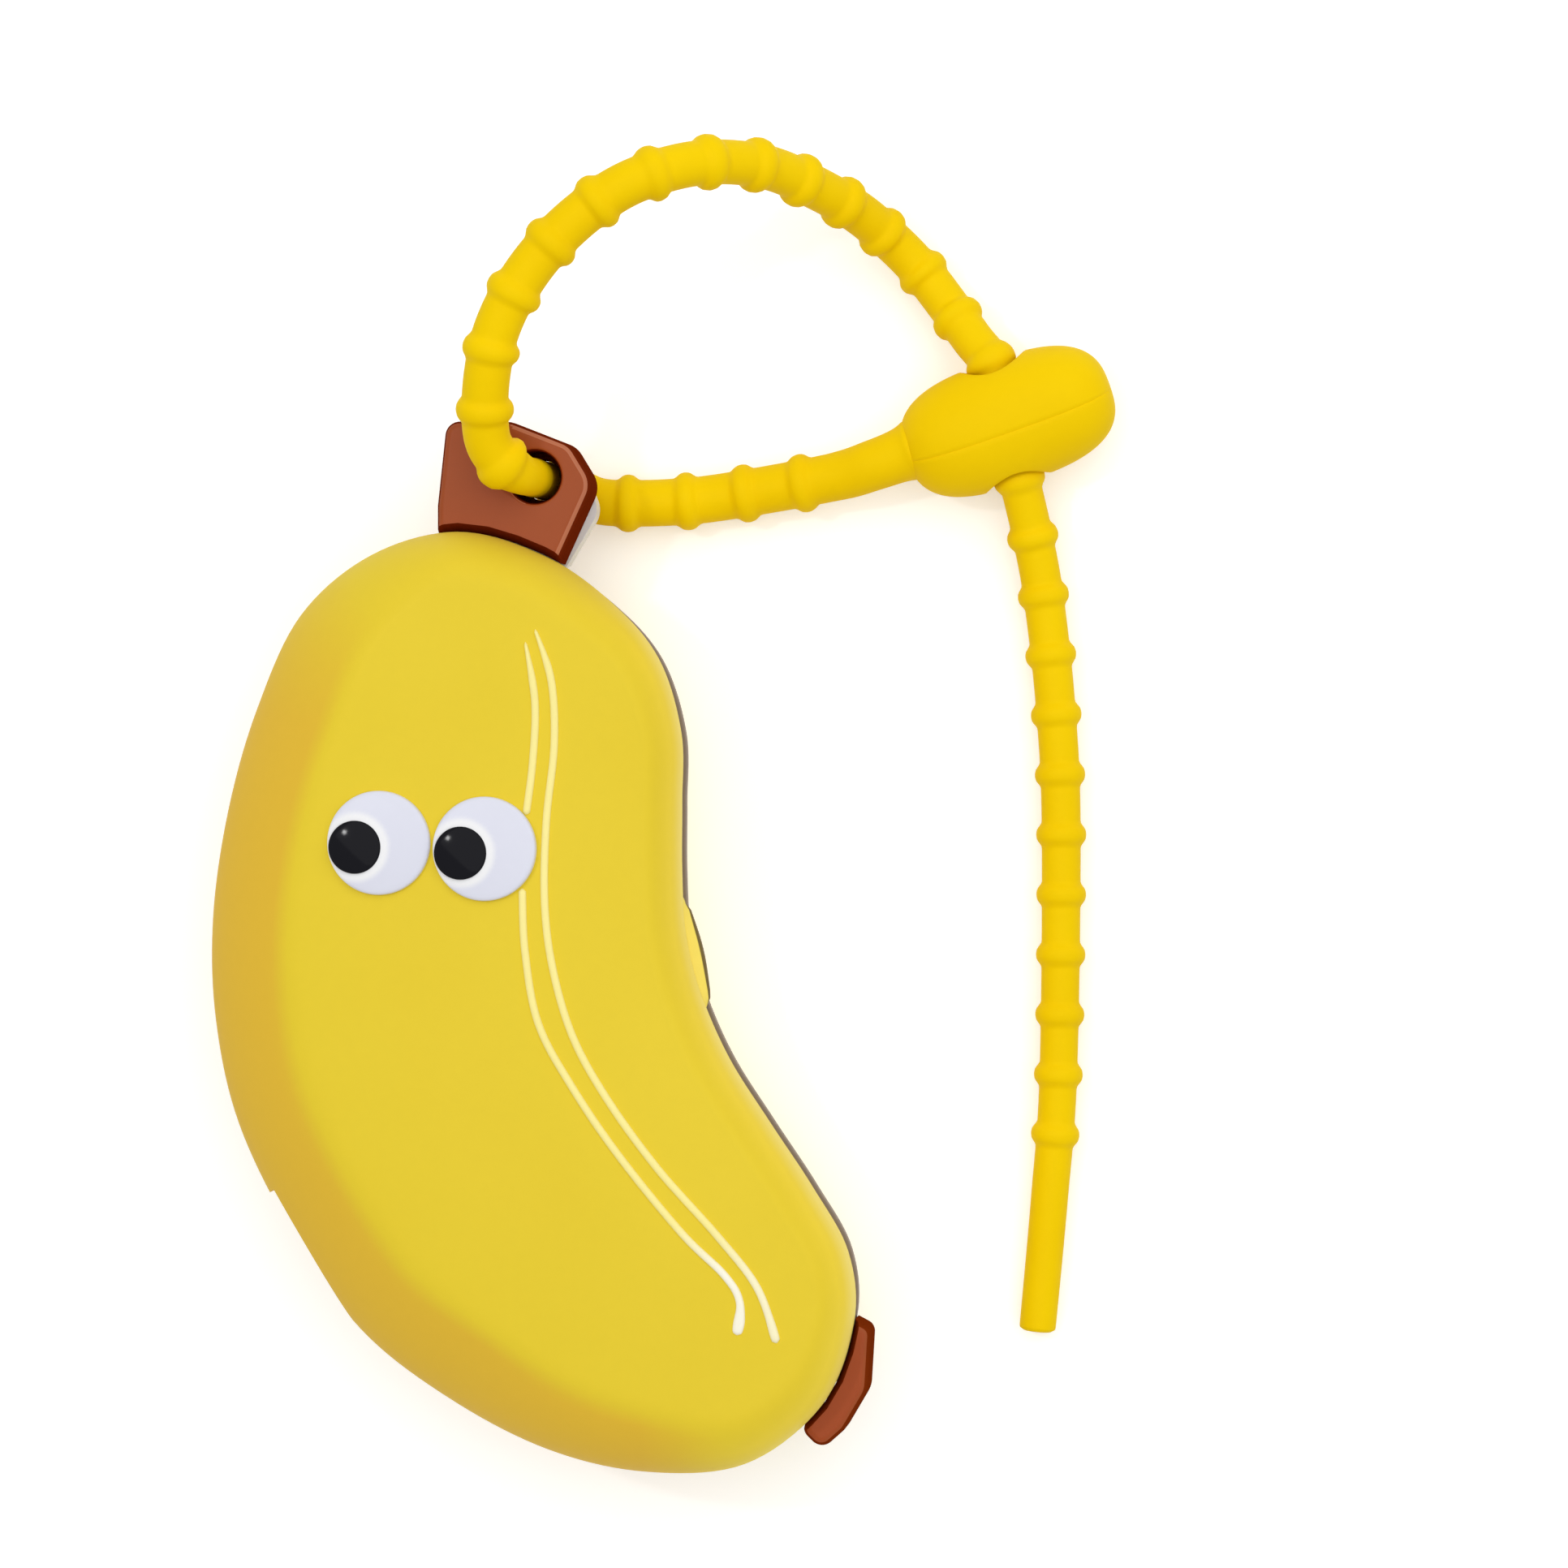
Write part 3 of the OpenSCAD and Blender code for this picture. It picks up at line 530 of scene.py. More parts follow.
# painted shade for the outer edge of the tray's rim
rim_painted_shade = material("tray_rim_painted_shade", (0.28, 0.22, 0.18), 0.5, fleck=0.04, bump=0.01, specular=0.2)
brown = material("brown_moulded", (0.34, 0.071, 0.017), 0.42, shade=(0.32, 0.066, 0.015), fleck=0.04,
                 bump=0.01, specular=0.18)
# painted shade for the sides of the stem and the walls of its hole
brown_painted_shade = material("brown_moulded_painted_shade", (0.16, 0.018, 0.003), 0.6, fleck=0.04, bump=0.01,
                      specular=0.0)
# painted highlight for the stem's rolled right edge
brown_painted_highlight = material("brown_moulded_painted_highlight", (0.48, 0.16, 0.08), 0.42, fleck=0.04, bump=0.01,
                      specular=0.18)
tip_brown = material("tip_brown_moulded", (0.35, 0.064, 0.014), 0.42, shade=(0.33, 0.060, 0.012),
                     fleck=0.04, bump=0.01, specular=0.18)
# painted shade for the sides of the tip
tip_painted_shade = material("tip_brown_painted_shade", (0.20, 0.027, 0.003), 0.6, fleck=0.04, bump=0.01, specular=0.0)
steel = material("pin_steel", (0.55, 0.56, 0.57), 0.28, fleck=0.08, bump=0.01)
eye_white = material("eye_white", (0.74, 0.75, 0.85), 0.35, fleck=0.02, bump=0.004, specular=0.25,
                     tints={"halo": (0.90, 0.90, 0.91)})
pupil_black = material("pupil_black", (0.007, 0.007, 0.010), 0.08, fleck=0.02, bump=0.0005,
                       specular=0.07)
cream = material("cream_line", (1.0, 0.88, 0.32), 0.45, fleck=0.03, bump=0.01, specular=0.2,
                 tints={"milky": (1.0, 0.96, 0.78)})
silicone = material("strap_silicone", (0.96, 0.65, 0.0), 0.55, shade=(0.90, 0.58, 0.0), fleck=0.03,
                    bump=0.01, bump_size=3000, subsurface=0.02, specular=0.05)
nodes["hinge_pin"].data.materials.clear()
nodes["hinge_pin"].data.materials.append(steel)

# The shoulder of the shells carries painted light: painted shade, ochre, on the convex side, and on
# the concave side a bright painted highlight whose lowest part is a pale painted highlight. Each band:
# depths below the face over which it sets in, and the first and last point of OUTLINE beside it, with
# the points over which it fades in and out.
SHOULDER_LIGHT_BANDS = {
    "shoulder_painted_shade": ((0.1, 0.7), (1.2, 13), (1.8, 1)),
    "shoulder_painted_highlight": ((0.3, 2.2), (12.4, 26.5), (1, 1.5)),
    "pale": ((3.2, 6.2), (12.8, 26.5), (1.5, 1.5)),
}


def paint(piece, name, shares):
    """Colour attribute with one share to a point of the mesh."""
    attribute = piece.data.color_attributes.new(name, "FLOAT_COLOR", "POINT")
    attribute.data.foreach_set("color", np.repeat(shares, 4).astype(np.float32))


def paint_shoulder_light(piece):
    """Colour attributes for the painted shade and painted highlights of the shoulder, by depth below the
    face and by the nearest side in plan.
    """
    points = np.array([v.co for v in piece.data.vertices])
    depth = face(points[:, :2]) - points[:, 2]
    beside = np.array([np.argmin(((plan - p) ** 2).sum(axis=1)) for p in points[:, :2]]) / SPAN_STEPS
    for name, (depths, (first, last), (fade_in, fade_out)) in SHOULDER_LIGHT_BANDS.items():
        value = np.clip((depth - depths[0]) / (depths[1] - depths[0]), 0, 1)
        value *= np.clip((beside - first) / fade_in, 0, 1) * np.clip((last - beside) / fade_out, 0, 1)
        paint(piece, name, value)


# Back half
back_rings = [back_curve(0, a) for a in sweep(90, 0, 12)]
back_rings += [back_curve(WALL, a) for a in sweep(0, 90, 8)]
back_shell = ring_shell("back_shell_skin", back_rings, lambda p: np.zeros(len(p)),
                        lambda p: np.full(len(p), WALL))
boolean(back_shell, hinge_relief())
VENTS = [(-14, 8), (-9, 8), (-4, 8)]
VENT_R = 1.5
VENT_ROUND = 0.25
VENT_REACH = 6


def vent_cutter(x, y, flare):
    profile = [(0, -0.5), (VENT_R + flare, -0.5), (VENT_R + flare, 0), (VENT_R, flare),
               (VENT_R, VENT_REACH), (0, VENT_REACH)]
    return moved(lathe("vent", profile, 48), Matrix.Translation((x, y, 0)))


for x, y in VENTS:
    boolean(back_shell, vent_cutter(x, y, VENT_ROUND))
join(back_shell, *[knuckle(side * (KNUCKLE_LENGTH + KNUCKLE_GAP), BACK_WEB, PIN_R + PIN_TIGHT)
                   for side in (-1, 1)])
paint_shoulder_light(back_shell)
finished(back_shell, "back", yellow, "yellow_shell", "back_shell")

# Stem: circles whose hull is its outline
STEM = [
    (-9.6, 43, 1.2), (-9.6, 46.3, 1.2), (-8.4, 53.7, 1.6), (-3.2, 53.5, 1.7), (1.7, 50.6, 2.6),
    (2.8, 48.4, 2.8), (1, 40.6, 1.2),
]
STEM_CORE = [
    (-9.4, 43, 1.2), (-9.4, 46.3, 1.2), (-8.2, 53.5, 1.6), (-3.3, 53.2, 1.6), (1.5, 50.3, 2.5),
    (2.8, 46.2, 2.7), (1.2, 40.6, 1.2),
]
STEM_HOLE = (-0.3, 49.3)
STEM_HOLE_R = 2.8
MOUTH_FLARE = 0.35
CORE_HOLE = (-0.42, 49.3)
CORE_HOLE_R = 2.14
STEM_CORE_H = 2.4
STEM_BACK_H = 1.6
STEM_CAP_H = 5.4
HUG_GAP = 0.08
HUG_SLOPE = 0.9
HUG_BEND = 1.6
TIP_HUG_GAP = 0.03
TIP_HUG_SLOPE = 0.65
CORE_Z = PART_HEIGHT - STEM_CORE_H
TIP = [
    (33, -40, 1), (33.9, -40.7, 1.2), (31.9, -45.6, 2.9), (30.6, -49.2, 2.2), (29.9, -50.9, 1.4),
    (29.2, -50.5, 1.2),
]
CIRCLE_STEPS = 72
HULL_STEPS = 160


def hull_plan(circles):
    """Hull of circles, as evenly spaced points."""
    turns = [2 * math.pi * k / CIRCLE_STEPS for k in range(CIRCLE_STEPS)]
    points = []
    for x, y, r in circles:
        points += [(x + r * math.cos(a), y + r * math.sin(a)) for a in turns]
    points = sorted(set(points))

    def chain(run):
        made = []
        for p in run:
            while len(made) > 1 and ((made[-1][0] - made[-2][0]) * (p[1] - made[-2][1])
                                     - (made[-1][1] - made[-2][1]) * (p[0] - made[-2][0])) <= 1e-9:
                made.pop()
            made.append(p)
        return made[:-1]

    loop = np.array(chain(points) + chain(points[::-1]))
    steps = np.linalg.norm(np.roll(loop, -1, axis=0) - loop, axis=1)
    run = np.concatenate([[0], np.cumsum(steps)])
    closed = np.vstack([loop, loop[:1]])
    where = np.arange(HULL_STEPS) / HULL_STEPS * run[-1]
    return np.column_stack([np.interp(where, run, closed[:, k]) for k in (0, 1)])


def pillow(name, circles, profile):
    """Solid over a hull plan, through rings at (inset, z). Insets shrink the circles themselves."""
    base = hull_plan(circles)
    centre = base.mean(axis=0)
    verts = []
    for inset, z in profile:
        loop = hull_plan([(x, y, max(r - inset, 0.02)) for x, y, r in circles])
        # each ring starts on the same side, so that the rings don't twist
        start = int(np.argmin(np.linalg.norm(loop - base[0], axis=1)))
        loop = np.roll(loop, -start, axis=0)
        verts += [(p[0], p[1], z) for p in loop]
    faces = grid_faces(len(profile), HULL_STEPS)
    for row in (0, len(profile) - 1):
        middle = len(verts)
        z = profile[row][1]
        verts.append((centre[0], centre[1], z))
        for k in range(HULL_STEPS):
            a, b = row * HULL_STEPS + k, row * HULL_STEPS + (k + 1) % HULL_STEPS
            faces.append((middle, a, b))
    piece = new_object(name, verts, faces)
    outward(piece)
    return piece


# a face whose normal rises less than STEEP is a side, in painted shade, and one that rises less than LEVEL
# an edge
STEEP = 0.72
LEVEL = 0.98
TO_RIGHT = 0.15


def paint_side_shade(piece, shade_material, edge_material):
    """Painted shade as the second material on all that doesn't face up; the third on the rolled edge on the
    right, a painted highlight on the stem.
    """
    piece.data.materials.append(shade_material)
    piece.data.materials.append(edge_material)
    for polygon in piece.data.polygons:
        if polygon.normal.z < STEEP:
            polygon.material_index = 1
        elif polygon.normal.z < LEVEL and polygon.normal.x > TO_RIGHT:
            polygon.material_index = 2


def hole_cutter(low, high, lip, upwards):
    """Cutter of the strap's hole, with one rounded mouth at height lip, at its top or its bottom."""
    way = 1 if upwards else -1
    inner, outer = (low, high) if upwards else (high, low)
    profile = [(0, inner), (STEM_HOLE_R, inner)]
    profile += [(STEM_HOLE_R + MOUTH_FLARE * (1 - math.sin(a)), lip - way * MOUTH_FLARE * (1 - math.cos(a)))
                for a in np.radians(sweep(90, 0, 5))]
    profile += [(STEM_HOLE_R + MOUTH_FLARE, outer), (0, outer)]
    return moved(lathe("hole", profile, 96), Matrix.Translation((*STEM_HOLE, 0)))


stem_top = PART_HEIGHT + STEM_CAP_H
STEM_ROUND = (0.85, 0.95)
front_profile = [(0.12, PART_HEIGHT), (0, PART_HEIGHT + 0.12), (0.03, stem_top - 2.0)]
front_profile += [(0.05 + STEM_ROUND[0] * (1 - math.cos(a)), stem_top - STEM_ROUND[1] * (1 - math.sin(a)))
                  for a in np.radians(sweep(0, 90, 6))]
front_profile += [(1.0, stem_top), (1.19, stem_top)]
stem_front = pillow("stem_front", STEM, front_profile)
boolean(stem_front, case_wedge("trim", HUG_GAP, PART_HEIGHT - 1, stem_top - HUG_BEND, HUG_SLOPE, stem_top))
boolean(stem_front, hole_cutter(PART_HEIGHT - 1, stem_top + 1, stem_top, upwards=True))
finished(stem_front, "back", brown, "brown_cap", "stem_front_cap")
# painted shade on the stem's sides, and a painted highlight on its rolled right edge
paint_side_shade(stem_front, brown_painted_shade, brown_painted_highlight)

back_profile = [(0.95, CORE_Z - STEM_BACK_H), (0.75, CORE_Z - STEM_BACK_H + 0.12),
                (0.62, CORE_Z - STEM_BACK_H + 0.5), (0.6, CORE_Z)]
stem_back = pillow("stem_back", STEM, back_profile)
boolean(stem_back, case_prism("trim", HUG_GAP, CORE_Z - 3, CORE_Z + 1))
boolean(stem_back, hole_cutter(CORE_Z - 3, CORE_Z + 1, CORE_Z - STEM_BACK_H, upwards=False))
finished(stem_back, "back", brown, "brown_cap", "stem_back_cap")

# White lining of the back half, with the stem's core, the tip's tab, two brush rests and the catch
TIP_TAB = (32.3, -44.2)
TIP_TAB_ANGLE = math.radians(-25)
TIP_TAB_LOW = (-1.6, -2.2, 0)
TIP_TAB_HIGH = (1.0, 2.2, 1.4)
TAB_ROUND = 0.1
BRUSH_ANGLE = math.radians(16)
RESTS = [(-9.6, 22), (2.2, -19)]
REST_HALF = (7, 1.25)
REST_H = 6.6
REST_Z = LINER_OUT + 0.2
REST_ROUND = 0.3
NOTCH_R = 4.5
NOTCH_Z = 8.4
LATCH_AT = 62 / 3
LATCH_W = 8
CATCH_W = 7
CATCH_IN = (3.1, 3.7)
CATCH_Z = (10.8, 11.6)
CATCH_ROUND = 0.15
RIM_ROUND = 0.12
LIP_ROLL = 0.15
CORE_OVERLAP = 1.2
CORE_CLEAR = 0.1
BAND_IN = 0.6
BAND_TO = 38
BAND_LEFT = -12

latch_index = int(round(LATCH_AT * SPAN_STEPS))
latch_turn = math.atan2(-inward[latch_index][0], inward[latch_index][1])
AT_LATCH = (Matrix.Translation((plan[latch_index][0], plan[latch_index][1], 0))
            @ Matrix.Rotation(latch_turn, 4, "Z"))

tray_rings = [back_curve(LINER_OUT, a) for a in sweep(90, 0, 8)]
tray_rings += [
    ring(flange_edge + RIM_ROUND, FLANGE_Z), ring(flange_edge, FLANGE_Z + RIM_ROUND),
    ring(flange_edge, PART_HEIGHT - RIM_ROUND), ring(flange_edge + RIM_ROUND, PART_HEIGHT),
    ring(flange_edge + BAND_IN, PART_HEIGHT),
    ring(edge + LIP_OUT, PART_HEIGHT), ring(edge + LIP_OUT, PART_HEIGHT + LIP_HEIGHT - LIP_ROLL),
    ring(edge + LIP_OUT + LIP_ROLL, PART_HEIGHT + LIP_HEIGHT),
    ring(edge + LINER_IN - LIP_ROLL, PART_HEIGHT + LIP_HEIGHT),
    ring(edge + LINER_IN, PART_HEIGHT + LIP_HEIGHT - LIP_ROLL),
]
tray_rings += [back_curve(LINER_IN, a) for a in sweep(0, 90, 12)]
back_tray = ring_shell("back_tray_lining", tray_rings, lambda p: np.full(len(p), LINER_OUT),
                       lambda p: np.full(len(p), LINER_IN))
boolean(back_tray, hinge_relief(TRAY_RELIEF_R))
for x, y in VENTS:
    boolean(back_tray, vent_cutter(x, y, 0))
core = prism("core", hull_plan(STEM_CORE), CORE_Z, PART_HEIGHT)
# the core runs into the tray's rim, and below the rim it stops short of the back shell
boolean(core, case_prism("trim", -CORE_OVERLAP, FLANGE_Z - 1, PART_HEIGHT + 1))
boolean(core, case_prism("trim", CORE_CLEAR, CORE_Z - 1, FLANGE_Z))
CORE_MOUTH_R = STEM_HOLE_R + 0.2
core_hole = [(0, CORE_Z - 1), (CORE_HOLE_R, CORE_Z - 1), (CORE_HOLE_R, PART_HEIGHT - 0.8),
             (CORE_MOUTH_R, PART_HEIGHT - 0.6), (CORE_MOUTH_R, PART_HEIGHT + 1), (0, PART_HEIGHT + 1)]
boolean(core, moved(lathe("hole", core_hole, 96), Matrix.Translation((*CORE_HOLE, 0))))
tab = moved(rounded_block("tab", TIP_TAB_LOW, TIP_TAB_HIGH, TAB_ROUND),
            Matrix.Translation((*TIP_TAB, FLANGE_Z)) @ Matrix.Rotation(TIP_TAB_ANGLE, 4, "Z"))
rests = []
for x, y in RESTS:
    rest = rounded_block("rest", (-REST_HALF[0], -REST_HALF[1], 0), (*REST_HALF, REST_H), REST_ROUND)
    notch = moved(rod("notch", NOTCH_R, 6, 96),
                  Matrix.Translation((0, 0, NOTCH_Z)) @ Matrix.Rotation(math.pi / 2, 4, "Z"))
    boolean(rest, notch)
    rests.append(moved(rest, Matrix.Translation((x, y, REST_Z)) @ Matrix.Rotation(BRUSH_ANGLE, 4, "Z")))
w = CATCH_W / 2
catch = moved(rounded_block("catch", (-w, CATCH_IN[0], CATCH_Z[0]), (w, CATCH_IN[1], CATCH_Z[1]),
                            CATCH_ROUND), AT_LATCH)
join(back_tray, core, tab, catch, *rests)
finished(back_tray, "back", white, "white_lining", "back_tray")

# Painted shade: the rim's outer edge is darker, except beside the stem's white layer, and so are the walls
# of the hole
NEAR = 0.05
back_tray.data.materials.append(rim_painted_shade)
back_tray.data.materials.append(brown_painted_shade)
for polygon in back_tray.data.polygons:
    middle = np.array(polygon.center) / MM
    off_hole = np.linalg.norm(middle[:2] - STEM_HOLE)
    if off_hole < CORE_MOUTH_R + 0.2 and CORE_Z + NEAR < middle[2] < PART_HEIGHT - NEAR:
        polygon.material_index = 2
    if FLANGE_Z - NEAR < middle[2] < PART_HEIGHT + NEAR:
        away = np.linalg.norm(plan - middle[:2], axis=1)
        off_stem = middle[1] < BAND_TO or middle[0] < BAND_LEFT
        if off_stem and away.min() < flange_edge[away.argmin()] + BAND_IN:
            polygon.material_index = 1

# Tip: block with rolled edges that hugs the end of the body, drawn in towards its bottom
TIP_TOP = 17.4
TIP_H = 8.8
TIP_ROUND = 0.9
TIP_WIDEST = 12
tip_low = TIP_TOP - TIP_H
tip_profile = [(1.0, tip_low), (0.9, tip_low), (0.75, tip_low + 0.15)]
tip_profile += [(0.12, TIP_WIDEST - 0.5), (0, TIP_WIDEST + 0.4)]
tip_profile += [(TIP_ROUND * (1 - math.cos(a)), TIP_TOP - TIP_ROUND * (1 - math.sin(a)))
                for a in np.radians(sweep(0, 90, 5))]
tip_profile.append((0.98, TIP_TOP))
tip = pillow("tip_block", TIP, tip_profile)
boolean(tip, case_wedge("trim", TIP_HUG_GAP, tip_low - 1, TIP_TOP - HUG_BEND, TIP_HUG_SLOPE, TIP_TOP))
finished(tip, "back", tip_brown, "brown_cap", "tip_cap")
# painted shade on the tip's sides
paint_side_shade(tip, tip_painted_shade, brown)

# Lid
lid_low = PART_HEIGHT + GAP
lip_top = lid_low + THUMB_H
# the rounding of the thumb lip: how far below its top, and the share of its reach there
LIP_ROUND = [(-0.3, 0), (0, 0.55), (0.1, 0.7), (0.15, 0.76), (0.3, 0.9), (0.7, 1)]
front_rings = [front_shoulder(0, a) for a in sweep(90, 0, 16)]
front_rings.append(front_wall(0, WIDEST_Z - 0.6))
front_rings += [front_wall(0, lip_top - below, share) for below, share in LIP_ROUND]
front_rings += [front_wall(0, lid_low + 0.15, 1), front_wall(0.06, lid_low + 0.04, 1),
                front_wall(0.2, lid_low, 1), front_wall(WALL, lid_low)]
front_rings += [front_shoulder(WALL, a) for a in sweep(0, 90, 10)]
front_shell = ring_shell("front_shell_skin", front_rings, face, lambda p: face(p) - WALL)
boolean(front_shell, hinge_relief())
FLAT_IN = 0.5
FLAT_X = (-7, 9)
FLAT_H = 16
flat = moved(block("flat", (FLAT_X[0], FLAT_IN - 4, 0), (FLAT_X[1], FLAT_IN, FLAT_H)),
             Matrix.Translation((HINGE_MIDDLE[0], HINGE_MIDDLE[1], PART_HEIGHT - 2))
             @ Matrix.Rotation(HINGE_ANGLE, 4, "Z"))
boolean(front_shell, flat)
POSTS = [(-14, 28), (-12, -16), (15, -40)]
POST_R = 2.5
POST_REACH = 0.2


def under_face(name, low, high):
    """Short cylinders under the lid's face, one at each post. Heights are measured from the face."""
    return [moved(cylinder(name, POST_R, low, high, 48),
                  Matrix.Translation((x, y, float(face((x, y))[0])))) for x, y in POSTS]


posts = under_face("post", -WALL - POST_REACH, -WALL + 0.5)
join(front_shell, knuckle(0, LID_WEB, PIN_R + PIN_PLAY), *posts)
paint_shoulder_light(front_shell)
# painted shadow: the side of the lip is dark below its rolled edge, and pales again towards the seam
LIP_PAINTED_SHADOW = ((lid_low + 0.15, 0), (lip_top - 0.7, 1), (lip_top - 0.15, 1), (lip_top - 0.1, 0))
lip_painted_shadow = []
for vertex in front_shell.data.vertices:
    x, y, z = vertex.co
    beside = np.argmin(((plan - (x, y)) ** 2).sum(axis=1))
    share = np.clip(min(beside - THUMB_SPAN[0], THUMB_SPAN[1] - beside) + 1, 0, 1)
    lip_painted_shadow.append(share * np.interp(z, *zip(*LIP_PAINTED_SHADOW)))
paint(front_shell, "lip_painted_shadow", lip_painted_shadow)
finished(front_shell, "lid", yellow, "yellow_shell", "front_shell")

low_z = PART_HEIGHT + LIP_HEIGHT + GAP
liner_rings = [front_shoulder(LINER_OUT, a) for a in sweep(90, 0, 10)]
liner_rings += [front_wall(LINER_OUT, low_z), front_wall(LINER_OUT + 0.15, low_z - 0.001),
                front_wall(LINER_IN - 0.15, low_z - 0.001), front_wall(LINER_IN, low_z + 0.12)]
liner_rings += [front_shoulder(LINER_IN, a) for a in sweep(0, 90, 14)]
front_liner = ring_shell("front_liner_lining", liner_rings, lambda p: face(p) - LINER_OUT,
                         lambda p: face(p) - LINER_IN)
boolean(front_liner, hinge_relief())
PAD_H = 0.6
pads = under_face("pad", -WALL - PAD_H, -WALL - POST_REACH)
# the latch's pieces: outer and inner side, bottom and top, and how far the edges are rolled
LATCH = {
    "tongue": ((4.2, 5.2), (8.6, low_z + 1.6), 0.2),
    "foot": ((2.4, 5.2), (low_z + 0.4, low_z + 2.4), 0.2),
    "barb": ((3.95, 4.55), (9.2, 10.1), 0.15),
}
w = LATCH_W / 2
latch = [moved(rounded_block(name, (-w, outer, bottom), (w, inner, top), rolled), AT_LATCH)
         for name, ((outer, inner), (bottom, top), rolled) in LATCH.items()]
join(front_liner, *latch, *pads)
finished(front_liner, "lid", white, "white_lining", "front_liner")

# Eyes: a shallow white dome with a rolled rim, and a black dome on it whose surroundings are whiter
EYE_R = 5.4
EYE_H = 1.15
EYE_DOME = 0.33
PUPIL_R = 2.75
PUPIL_LOW = 0.6
PUPIL_H = 1.64
EYES = {"left": (-15.2, 10.9), "right": (-4.1, 10.3)}
PUPIL_SHIFT = (-2.4, -0.45)
EYE_SINK = 0.35
PUPIL_DOME = 0.24
HALO_FROM = 0.55
HALO_TO = 1.1
# rolled rims: how far in from the side and how far below the top
EYE_RIM = [(0, 0.33), (0.06, 0.17), (0.2, 0.07), (0.45, 0.01)]
PUPIL_RIM = [(0, 0.16), (0.06, 0.06), (0.16, 0.01)]


def dome(reach, low, rise, steps):
    """Profile of a shallow dome, from inside its edge to its middle."""
    return [(reach * k / steps, low + rise * (1 - (k / steps) ** 2)) for k in range(steps - 1, -1, -1)]


for side, (x, y) in EYES.items():
    base = float(face((x, y))[0]) - EYE_SINK
    profile = [(0, 0), (EYE_R - 0.1, 0), (EYE_R, 0.1)] + [(EYE_R - a, EYE_H - b) for a, b in EYE_RIM]
    profile += dome(EYE_R - 0.5, EYE_H, EYE_DOME, 16)
    disc = moved(lathe(f"eye_disc_{side}", profile, 120), Matrix.Translation((x, y, base)))
    middle = np.array((x + PUPIL_SHIFT[0], y + PUPIL_SHIFT[1]))
    points = np.array([v.co for v in disc.data.vertices])
    off = np.linalg.norm(points[:, :2] - middle, axis=1)
    halo = np.clip((PUPIL_R + HALO_TO - off) / (HALO_TO - HALO_FROM), 0, 1)
    paint(disc, "halo", halo)
    finished(disc, "lid", eye_white, "eye_white", f"eye_white_{side}")
    profile = [(0, PUPIL_LOW), (PUPIL_R, PUPIL_LOW)] + [(PUPIL_R - a, PUPIL_H - b) for a, b in PUPIL_RIM]
    profile += dome(PUPIL_R - 0.2, PUPIL_H, PUPIL_DOME, 9)
    pupil = moved(lathe(f"pupil_{side}_dome", profile, 96), Matrix.Translation((*middle, base)))
    finished(pupil, "lid", pupil_black, "pupil_black", f"pupil_{side}")

# Raised lines down the face: points, how much thicker the lower end is, the length of the taper at
# the upper end, and how whitish the lower end is
LINE_W = 0.8
LINE_PROUD = 0.35
LINE_SUNK = 0.3
LINES = {
    "left_upper": ([(0.1, 31.7), (1.1, 25.6), (0.9, 19.5), (0.2, 13.8)], 0.0, 4.0, 0.0),
    "left_lower": ([(-0.2, 6.2), (0.1, -0.4), (1.5, -7.8), (5, -14.3), (9.9, -21.4), (16.4, -29.3),
                    (20.8, -33.6), (22.4, -36.4), (22.1, -39.8)], 0.2, 0.0, 1.0),
    "right": ([(1.1, 33), (2.8, 27.6), (3.1, 21), (2.3, 13.3), (2.1, 5.1), (2.9, -1.8), (5, -9),
               (8.6, -15.5), (13.9, -22.7), (20.1, -29.6), (24.2, -34.9), (26.2, -40.6)], 0.07, 4.0, 0.6),
}
LINE_STEPS = 12
LINE_SIDES = 10
CAP_LENGTH = 0.4
TAPER_SHARE = 0.4
BLOB_AT = 1.2
BLOB_LENGTH = 1.3
MILKY_LENGTH = 14


def ridge(name, route, blob, taper, whitish):
    """Bead of plastic along the face with rounded sides and ends."""
    path = spline(route, LINE_STEPS)
    run = np.concatenate([[0], np.cumsum(np.linalg.norm(np.diff(path, axis=0), axis=1))])
    verts = []
    for i, p in enumerate(path):
        h = path[min(i + 1, len(path) - 1)] - path[max(i - 1, 0)]
        h /= np.linalg.norm(h)
        across = np.array((h[1], -h[0]))
        from_end = min(run[i], run[-1] - run[i])
        cap = math.sqrt(max(1 - (1 - min(from_end / CAP_LENGTH, 1)) ** 2, 0.02))
        w = (LINE_W / 2 + blob * math.exp(-((run[-1] - run[i] - BLOB_AT) / BLOB_LENGTH) ** 2)) * cap
        if run[i] < taper:
            w *= TAPER_SHARE + (1 - TAPER_SHARE) * run[i] / taper
        z = float(face(p)[0])
        verts.append((*(p - across * w), z - LINE_SUNK))
        for k in range(LINE_SIDES + 1):
            a = math.pi * (1 - k / LINE_SIDES)
            q = p + across * w * math.cos(a)
            verts.append((q[0], q[1], z + LINE_PROUD * cap * math.sin(a) ** 0.8))
        verts.append((*(p + across * w), z - LINE_SUNK))
    columns = LINE_SIDES + 3
    faces = grid_faces(len(path), columns)
    faces.append(tuple(range(columns)))
    faces.append(tuple(range((len(path) - 1) * columns, len(path) * columns))[::-1])
    piece = new_object(name, verts, faces, 50)
    outward(piece)
    share = whitish * np.clip(2 - 2 * (run[-1] - run) / MILKY_LENGTH, 0, 1)
    paint(piece, "milky", np.repeat(share, columns))
    return piece


ridges = {name: ridge(f"line_{name}", *what) for name, what in LINES.items()}
left_line = join(ridges["left_upper"], ridges["left_lower"])
left_line.name = "line_left"
finished(left_line, "lid", cream, "cream_line", "ridge_line_left")
finished(ridges["right"], "lid", cream, "cream_line", "ridge_line_right")

